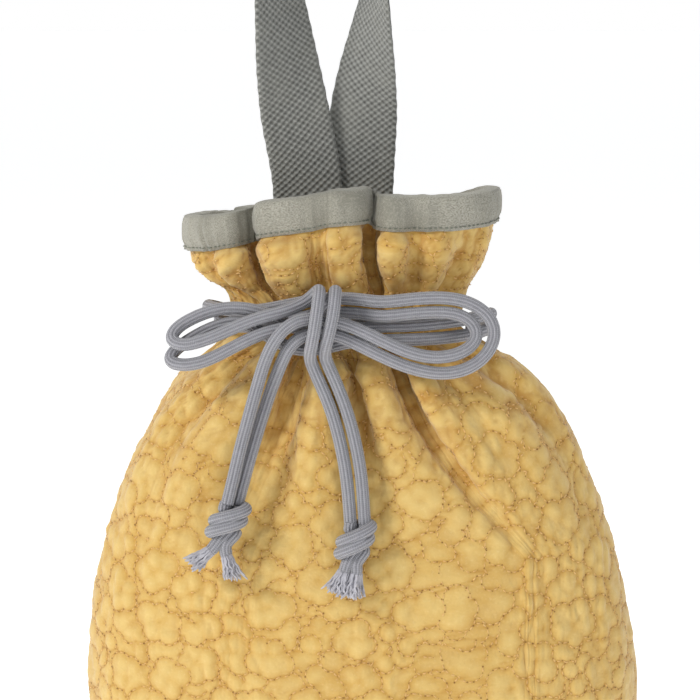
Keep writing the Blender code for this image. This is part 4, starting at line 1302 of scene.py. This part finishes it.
def tape_grid(start):
    """A casing tape as a grid of points, with its UVs."""
    heights = np.linspace(TAPE_ROWS[0][0], TAPE_ROWS[-1][0], TAPE_LEVELS)
    places = np.array([row[0] for row in TAPE_ROWS])
    rows = []
    for height in heights:
        part = np.interp(height, places, np.arange(len(places)))
        below = min(int(part), len(places) - 2)
        share = part - below
        ring = tape_ring(below, start) * (1 - share) + tape_ring(below + 1, start) * share
        rows.append(np.column_stack([ring, np.full(len(ring), height)]))
    grid = np.array(rows)
    across = np.tile(np.arange(TAPE_COLUMNS) * TAPE_SPACING, TAPE_LEVELS)
    up = np.repeat(heights, TAPE_COLUMNS)
    ripple = smooth_noise(across / MM, up / MM * 0.2, 2.6, 61)
    grid += grid_normals(grid) * (TAPE_RIPPLE * ripple.reshape(TAPE_LEVELS, TAPE_COLUMNS, 1))
    return grid, np.column_stack([across, up])


def webbing_ring(middle, across, through, half_width):
    """Section of the webbing, once round: each point and its way round in metres."""
    shares = np.linspace(-1, 1, WEBBING_COLUMNS)
    ring = []
    for side, some in ((-1, shares), (1, shares[-2:0:-1])):
        for share in some:
            thick = 0.5 * STRAP_THICKNESS * max(0.0, 1 - abs(share) ** WEBBING_SQUARENESS) ** 0.5
            place = STRAP_WIDTH + side * 0.5 * STRAP_WIDTH * (1 - share)
            ring.append((middle + share * half_width * across + side * thick * through, place))
    return ring


def webbing_grid():
    """The webbing loop as rings of points along its route, with UVs in metres."""
    middles = smooth_route(strand_route([row[:3] for row in STRAP_ROUTE]), RUN_STEP)
    travel = np.linspace(0, 1, len(middles))
    knots = np.linspace(0, 1, len(STRAP_ROUTE))
    turns = np.radians(smooth_steps(travel, knots, [row[3] for row in STRAP_ROUTE]))
    ahead = np.gradient(middles, axis=0)
    ahead /= np.linalg.norm(ahead, axis=1, keepdims=True)
    rows, uvs = [], []
    for middle, way, turn, far in zip(middles, ahead, turns, length_along(middles)):
        across = np.array([math.cos(turn), math.sin(turn), 0.0])
        across -= way * np.dot(across, way)
        across /= np.linalg.norm(across)
        edge = WEBBING_EDGE * math.sin(far * 2 * math.pi / WEBBING_EDGE_PITCH)
        ring = webbing_ring(middle, across, np.cross(way, across), 0.5 * STRAP_WIDTH + edge)
        rows.append([point for point, _ in ring])
        uvs.append([(place, far) for _, place in ring])
    return np.array(rows), np.array(uvs)


# Settings


def colour_setting(name, description, value):
    """A colour that can be changed in the sidebar."""
    return bpy.props.FloatVectorProperty(
        name=name, description=description, default=(*value, 1), size=4, min=0, max=1, subtype="COLOR"
    )


class PouchCloth(bpy.types.PropertyGroup):
    """Shape of the quilting."""

    puff_height: bpy.props.FloatProperty(
        name="Puff height", description="How far the wadding stands up", default=0.0010, unit="LENGTH"
    )
    stitch_pitch: bpy.props.FloatProperty(
        name="Stitch pitch", description="From one quilting stitch to the next", default=0.0027, unit="LENGTH"
    )
    seed: bpy.props.IntProperty(name="Seed", description="Layout of the quilting", default=11)


class PouchColours(bpy.types.PropertyGroup):
    """Colours of every cloth, cord and thread, and of the painted highlight and painted shade on them."""

    cotton_dark: colour_setting("Cotton, dark", "Darker patches of the cotton", (0.635, 0.400, 0.108))
    cotton_light: colour_setting("Cotton, light", "Lighter patches of the cotton", (0.705, 0.475, 0.152))
    # Painted highlight on the tops of the puffs.
    puff: colour_setting("Puff", "Top of each puff", (0.745, 0.540, 0.200))
    # Painted shade along the quilting valleys.
    seam: colour_setting("Seam", "Along the quilting lines", (0.545, 0.300, 0.062))
    # Painted shade in the sharp creases.
    fold: colour_setting("Fold", "In the sharp creases", (0.430, 0.195, 0.034))
    fleck: colour_setting("Fleck", "Pale flecks of the yarn", (0.93, 0.78, 0.50))
    thread_dark: colour_setting("Thread, dark", "Quilting thread in shade", (0.70, 0.42, 0.13))
    thread_light: colour_setting("Thread, light", "Quilting thread in light", (0.86, 0.60, 0.26))
    # Painted shade in the needle holes, deeper and shallower.
    hole_shade_deep: colour_setting("Needle hole, dark", "Deepest needle holes", (0.150, 0.060, 0.012))
    hole_shade_shallow: colour_setting("Needle hole, light", "Shallow needle holes", (0.520, 0.280, 0.075))
    lining_dark: colour_setting("Lining, dark", "Darker tone of the lining", (0.52, 0.33, 0.12))
    lining_light: colour_setting("Lining, light", "Lighter tone of the lining", (0.66, 0.45, 0.19))
    tape_dark: colour_setting("Tape, dark", "Darker tone of the casing tapes", (0.60, 0.45, 0.22))
    tape_light: colour_setting("Tape, light", "Lighter tone of the casing tapes", (0.74, 0.58, 0.33))
    binding_dark: colour_setting("Binding, dark", "Darker yarn of the binding", (0.225, 0.218, 0.178))
    binding_light: colour_setting("Binding, light", "Lighter yarn of the binding", (0.490, 0.470, 0.400))
    sewing_dark: colour_setting("Binding thread, dark", "Binding thread in shade", (0.15, 0.16, 0.125))
    sewing_light: colour_setting("Binding thread, light", "Binding thread in light", (0.28, 0.30, 0.235))
    # Painted shade between the webbing's ribs and painted highlight on them.
    webbing_shade: colour_setting("Webbing, dark", "Between the ribs of the webbing", (0.040, 0.041, 0.036))
    webbing_highlight: colour_setting("Webbing, light", "On the ribs of the webbing", (0.400, 0.405, 0.380))
    webbing_worn: colour_setting("Webbing, worn", "Worn patches of the webbing", (0.33, 0.33, 0.29))
    # Painted shade between the cord's ribs and painted highlight on them.
    cord_shade: colour_setting("Cord, dark", "Between the ribs of the cord", (0.215, 0.215, 0.240))
    cord_highlight: colour_setting("Cord, light", "On the ribs of the cord", (0.430, 0.428, 0.465))
    fray_dark: colour_setting("Frayed yarn, dark", "Frayed yarn in shade", (0.300, 0.298, 0.335))
    fray_light: colour_setting("Frayed yarn, light", "Frayed yarn in light", (0.620, 0.610, 0.660))


class PouchStage(bpy.types.PropertyGroup):
    """Light on the stage."""

    light: bpy.props.FloatProperty(name="Light", description="Power of the main light in watts", default=12.5)
    surroundings: bpy.props.FloatProperty(
        name="Surroundings", description="Strength of the light from all round", default=0.42
    )
    floor_glow: bpy.props.FloatProperty(
        name="Floor glow", description="Light given off by the pale floor", default=0.55
    )


# Operators


class PouchAddCamera(bpy.types.Operator):
    """Places the camera level with the mouth, looking slightly down on the front."""

    bl_idname = "pouch.add_camera"
    bl_label = "Add camera"

    def execute(self, context):
        """Adds the camera and makes it the scene's own."""
        camera = bpy.data.objects.new("camera", bpy.data.cameras.new("camera"))
        context.scene.collection.objects.link(camera)
        camera.data.lens = LENS
        camera.data.clip_end = 100
        tilt = math.radians(TILT)
        away = Vector((0, -math.cos(tilt), math.sin(tilt)))
        camera.location = Vector(LOOK_AT) + away * (VIEW_SPAN * LENS / SENSOR)
        camera.rotation_euler = away.to_track_quat("Z", "Y").to_euler()
        context.scene.camera = camera
        return {"FINISHED"}


class PouchAddCords(bpy.types.Operator):
    """Makes the two drawstrings: the runs in the casing, the four free strands and the tail knots."""

    bl_idname = "pouch.add_cords"
    bl_label = "Add cords"

    def execute(self, context):
        """Knots first, because each pair of strands ends in one."""
        colours = context.scene.pouch_colours
        grey = cord_material("grey_knitted_cord", colours.cord_shade, colours.cord_highlight)
        yarn = thread_material("frayed_grey_yarn", colours.fray_dark, colours.fray_light)
        knots = (("left", LEFT_TAIL_KNOT, 0.0075, 5), ("right", RIGHT_TAIL_KNOT, 0.0012, 8))
        for side, corners, spread, seed in knots:
            wraps, threads = knot_parts(corners, spread, seed)
            knot = place_piece(f"{side}_knot", *wraps[:2], grey, wraps[2])
            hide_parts(f"{side}_tail_knot")
            fray = place_piece(f"{side}_frayed_ends", *threads[:2], yarn, threads[2])
        for name, route in STRANDS.items():
            line = eased(smooth_route(strand_route(route), STRAND_STEP))
            points, faces, uvs = tube(line, 0.5 * CORD_DIAMETER, STRAND_SIDES)
            strand = place_piece(f"{name}_cord", points, faces, grey, uvs)
            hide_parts(name)
        for side, sign, height in (("left", -1, RUN_HEIGHTS[0]), ("right", 1, RUN_HEIGHTS[1])):
            line = smooth_route(casing_route(sign, height), RUN_STEP)
            points, faces, uvs = tube(line, 0.5 * CORD_DIAMETER, RUN_SIDES)
            run = place_piece(f"{side}_casing_cord", points, faces, grey, uvs)
            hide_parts(f"{side}_cord_casing_run")
        return {"FINISHED"}


class PouchAddPanels(bpy.types.Operator):
    """Makes the two quilted panels, with the lining that shows in the mouth and every stitch."""

    bl_idname = "pouch.add_panels"
    bl_label = "Add panels"

    def execute(self, context):
        """Makes the materials and the stitch shapes once, for both panels."""
        colours = context.scene.pouch_colours
        weave = bpy.data.node_groups.get("plain_weave") or thread_group()
        quilted = quilted_material(weave, colours)
        lining = plain_material("lining_cotton", weave, colours.lining_dark, colours.lining_light)
        thread = thread_material("mustard_sewing_thread", colours.thread_dark, colours.thread_light)
        shadow = thread_material("needle_hole_shadow", colours.hole_shade_deep, colours.hole_shade_shallow)
        stitch = stitch_shape("quilting_stitch", STITCH_LENGTH, STITCH_THICKNESS, thread)
        hole = hole_shape("needle_hole", HOLE_RADIUS, shadow)
        settings = context.scene.pouch_cloth
        for name, start, seed, sewing_seed in (
            ("front", 0.0, settings.seed, 21), ("back", 0.5, settings.seed + 100, 22)
        ):
            panel = QuiltedCloth(start, settings.puff_height, seed)
            cloth = self.add_cloth(name, panel, quilted)
            plain = [self.add_lining(name, panel, lining), self.add_turned_edges(name, panel, lining)]
            sewn = self.add_seams(name, panel, settings.stitch_pitch, stitch, hole, sewing_seed)
        return {"FINISHED"}

    def add_cloth(self, name, panel, material):
        """The quilted outer face."""
        uvs = np.column_stack([panel.s.ravel(), panel.t.ravel()]) * MM
        # The puff values also set the painted highlight on the puffs and the painted shade in the quilting
        # valleys; the crease values set the painted shade in the sharp creases.
        values = {"puff": panel.puff.ravel(), "crease_shade": panel.crease_shade.ravel()}
        faces = grid_quads(len(panel.grid), VIEW_COLUMNS)
        cloth = place_piece(f"{name}_quilt", panel.grid.reshape(-1, 3), faces, material, uvs, values)
        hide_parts(f"{name}_panel")
        return cloth

    def add_lining(self, name, panel, material):
        """The plain inner face, on a coarser grid. It is held up a little where the pouch stands."""
        rows, columns = LINING_EVERY
        inner = panel.inner[::rows, ::columns].copy()
        inner[:, :, 2] += LINING_FLOOR * smooth_steps(inner[:, :, 2], (0.0, 0.016), (1, 0))
        uvs = np.column_stack([place[::rows, ::columns].ravel() for place in (panel.s, panel.t)]) * MM
        faces = [face[::-1] for face in grid_quads(*inner.shape[:2])]
        lining = place_piece(f"{name}_lining", inner.reshape(-1, 3), faces, material, uvs)
        return lining

    def add_turned_edges(self, name, panel, material):
        """The two side edges, turned in at the seams. They show where the cords come out."""
        strips = []
        for column in (0, -1):
            edges = np.stack([panel.grid[:, column], panel.inner[:, column]], axis=1)
            quads = grid_quads(len(edges), 2)
            if column == 0:
                quads = [quad[::-1] for quad in quads]
            place = np.stack([panel.t[:, column], panel.t[:, column] + 4.0], axis=-1).reshape(-1, 1) * MM
            strips.append((edges.reshape(-1, 3), quads, np.hstack([place, place])))
        points, quads, uvs = joined(strips)
        turned = place_piece(f"{name}_turned_edges", points, quads, material, uvs)
        return turned

    def add_seams(self, name, panel, pitch, stitch, hole, seed):
        """Every quilting stitch, and a needle hole at the end of each."""
        point, along, out = panel.seams(pitch / MM)
        ends = point + 0.5 * pitch * along / np.linalg.norm(along, axis=1, keepdims=True)
        sewn = sew(f"{name}_quilting", point + out * STITCH_LIFT, along, out, stitch, seed)
        holes = sew(
            f"{name}_needle_holes", ends + out * HOLE_LIFT, along, out, hole, seed + 20, HOLE_UNEVENNESS
        )
        return [sewn, holes]


class PouchAddBinding(bpy.types.Operator):
    """Folds the grey-green strip over the rim and sews it down."""

    bl_idname = "pouch.add_binding"
    bl_label = "Add binding"

    def execute(self, context):
        """Makes the strip and its stitches."""
        colours = context.scene.pouch_colours
        weave = bpy.data.node_groups.get("plain_weave") or thread_group()
        cloth = plain_material(
            "grey_green_binding", weave, colours.binding_dark, colours.binding_light, threads=1900.0
        )
        thread = plain_material(
            "grey_binding_thread", weave, colours.sewing_dark, colours.sewing_light, threads=3000.0
        )
        grid, place, out = binding_grid()
        rows, count = grid.shape[:2]
        steps = np.linalg.norm(np.diff(grid, axis=0), axis=-1).mean(axis=1)
        travel = np.concatenate([[0], np.cumsum(steps)])
        uvs = np.column_stack([np.tile(place * MM, rows), np.repeat(travel, count)])
        faces = grid_quads(rows, count, True)
        binding = place_piece("folded_binding", grid.reshape(-1, 3), faces, cloth, uvs)
        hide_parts("mouth_binding")
        point, along, low = places_on_ring(0.35 * grid[1] + 0.65 * grid[2], BINDING_PITCH)
        stitch = stitch_shape("binding_stitch", *BINDING_STITCH, thread)
        lifted = point + out[1][low] * BINDING_STITCH_LIFT
        sewn = sew("binding_stitches", lifted, along, out[1][low], stitch, 23)
        return {"FINISHED"}


class PouchAddTapes(bpy.types.Operator):
    """Makes the inner tapes of the cord tunnel."""

    bl_idname = "pouch.add_tapes"
    bl_label = "Add casing tapes"

    def execute(self, context):
        """Makes the front tape and the back one."""
        colours = context.scene.pouch_colours
        weave = bpy.data.node_groups.get("plain_weave") or thread_group()
        cloth = plain_material("casing_tape_cloth", weave, colours.tape_dark, colours.tape_light)
        for name, start in (("front", 0.0), ("back", math.pi)):
            grid, uvs = tape_grid(start)
            faces = grid_quads(TAPE_LEVELS, TAPE_COLUMNS)
            tape = place_piece(f"{name}_casing_cloth", grid.reshape(-1, 3), faces, cloth, uvs)
            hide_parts(f"{name}_casing")
        return {"FINISHED"}


class PouchAddHandle(bpy.types.Operator):
    """Makes the webbing loop that comes out of the back of the mouth."""

    bl_idname = "pouch.add_handle"
    bl_label = "Add handle"

    def execute(self, context):
        """Closes the rings of webbing with an end face at each end."""
        grid, uvs = webbing_grid()
        rows, count = grid.shape[:2]
        faces = grid_quads(rows, count, True)
        faces.append(list(range(count))[::-1])
        faces.append(list(range((rows - 1) * count, rows * count)))
        material = webbing_material(context.scene.pouch_colours)
        strap = place_piece("webbing_loop", grid.reshape(-1, 3), faces, material, uvs.reshape(-1, 2))
        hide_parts("handle_strap")
        return {"FINISHED"}


class PouchAddStage(bpy.types.Operator):
    """Adds the pale floor, the white surroundings and the soft studio lights."""

    bl_idname = "pouch.add_stage"
    bl_label = "Add stage"

    def execute(self, context):
        """Adds the stage and shows its colours unaltered."""
        context.scene.view_settings.view_transform = "Standard"
        self.add_floor(context.scene)
        self.add_surroundings(context.scene)
        self.add_lights(context.scene)
        return {"FINISHED"}

    def add_floor(self, scene):
        """A wide pale floor that glows a little, so that it looks white in the light."""
        corners = [(x * FLOOR_HALF, y * FLOOR_HALF, 0) for x, y in ((-1, -1), (1, -1), (1, 1), (-1, 1))]
        mesh = bpy.data.meshes.new("floor")
        mesh.from_pydata(corners, [], [(0, 1, 2, 3)])
        material = bpy.data.materials.new("pale_floor")
        material.use_nodes = True
        shader = material.node_tree.nodes["Principled BSDF"]
        shader.inputs["Base Color"].default_value = (0.965, 0.965, 0.96, 1)
        shader.inputs["Emission Color"].default_value = (1, 1, 1, 1)
        shader.inputs["Emission Strength"].default_value = scene.pouch_stage.floor_glow
        shader.inputs["Roughness"].default_value = 0.9
        mesh.materials.append(material)
        floor = bpy.data.objects.new("floor", mesh)
        scene.collection.objects.link(floor)

    def add_surroundings(self, scene):
        """White where the camera looks past the floor, and dimmer as light on the pouch."""
        world = bpy.data.worlds.new("studio")
        world.use_nodes = True
        scene.world = world
        tree = world.node_tree
        tree.nodes.clear()
        path = add_node(tree, "ShaderNodeLightPath")
        seen = maths(tree, "MAXIMUM", path.outputs["Is Camera Ray"], path.outputs["Is Glossy Ray"])
        seen = maths(tree, "MAXIMUM", seen, path.outputs["Is Transmission Ray"])
        strength = scene.pouch_stage.surroundings
        values = [("Color", (0.97, 0.985, 1.0, 1)), ("Strength", strength)]
        dim = add_node(tree, "ShaderNodeBackground", values)
        white = add_node(tree, "ShaderNodeBackground", [("Color", (1, 1, 1, 1)), ("Strength", 1.0)])
        mix = add_node(tree, "ShaderNodeMixShader", [(0, seen), (1, dim.outputs[0]), (2, white.outputs[0])])
        output = add_node(tree, "ShaderNodeOutputWorld")
        tree.links.new(mix.outputs[0], output.inputs[0])

    def add_lights(self, scene):
        """A main light from the upper left, a weak one from the right and one from above and behind."""
        watts = scene.pouch_stage.light
        lamps = (
            ("main_light", (-1.05, -0.85, 1.05), 0.5, watts, (1.0, 0.985, 0.96)),
            ("fill_light", (1.1, -0.9, 0.55), 0.9, 0.12 * watts, (0.96, 0.98, 1.0)),
            ("top_light", (0.1, 0.5, 1.5), 0.7, 0.4 * watts, (1.0, 1.0, 1.0)),
        )
        for name, place, size, power, colour in lamps:
            data = bpy.data.lights.new(name, "AREA")
            data.shape = "DISK"
            data.size = size
            data.energy = power
            data.color = colour
            lamp = bpy.data.objects.new(name, data)
            lamp.location = place
            aim = Vector(place) - Vector((0, 0, 0.2))
            lamp.rotation_euler = aim.to_track_quat("Z", "Y").to_euler()
            scene.collection.objects.link(lamp)


class PouchPanel(bpy.types.Panel):
    """Buttons in the order in which the pouch is built."""

    bl_idname = "VIEW3D_PT_pouch"
    bl_label = "Quilted pouch"
    bl_space_type = "VIEW_3D"
    bl_region_type = "UI"
    bl_category = "Pouch"

    def draw(self, context):
        """Settings first, then one button for each operator."""
        for settings in (context.scene.pouch_cloth, context.scene.pouch_colours, context.scene.pouch_stage):
            for name in type(settings).__annotations__:
                self.layout.prop(settings, name)
        for kind in OPERATORS:
            self.layout.operator(kind.bl_idname)


OPERATORS = (
    PouchAddCamera,
    PouchAddCords,
    PouchAddPanels,
    PouchAddBinding,
    PouchAddTapes,
    PouchAddHandle,
    PouchAddStage,
)
GROUPS = (PouchCloth, PouchColours, PouchStage)


def register():
    """Registers the settings, the operators and the sidebar panel."""
    for kind in (*GROUPS, *OPERATORS, PouchPanel):
        bpy.utils.register_class(kind)
    bpy.types.Scene.pouch_cloth = bpy.props.PointerProperty(type=PouchCloth)
    bpy.types.Scene.pouch_colours = bpy.props.PointerProperty(type=PouchColours)
    bpy.types.Scene.pouch_stage = bpy.props.PointerProperty(type=PouchStage)


def unregister():
    """Takes away what register added."""
    del bpy.types.Scene.pouch_stage
    del bpy.types.Scene.pouch_colours
    del bpy.types.Scene.pouch_cloth
    for kind in reversed((*GROUPS, *OPERATORS, PouchPanel)):
        bpy.utils.unregister_class(kind)


def main():
    """Builds the pouch and its stage."""
    register()
    bpy.ops.pouch.add_camera()
    bpy.ops.pouch.add_cords()
    bpy.ops.pouch.add_panels()
    bpy.ops.pouch.add_binding()
    bpy.ops.pouch.add_tapes()
    bpy.ops.pouch.add_handle()
    bpy.ops.pouch.add_stage()


if __name__ == "__main__":
    main()
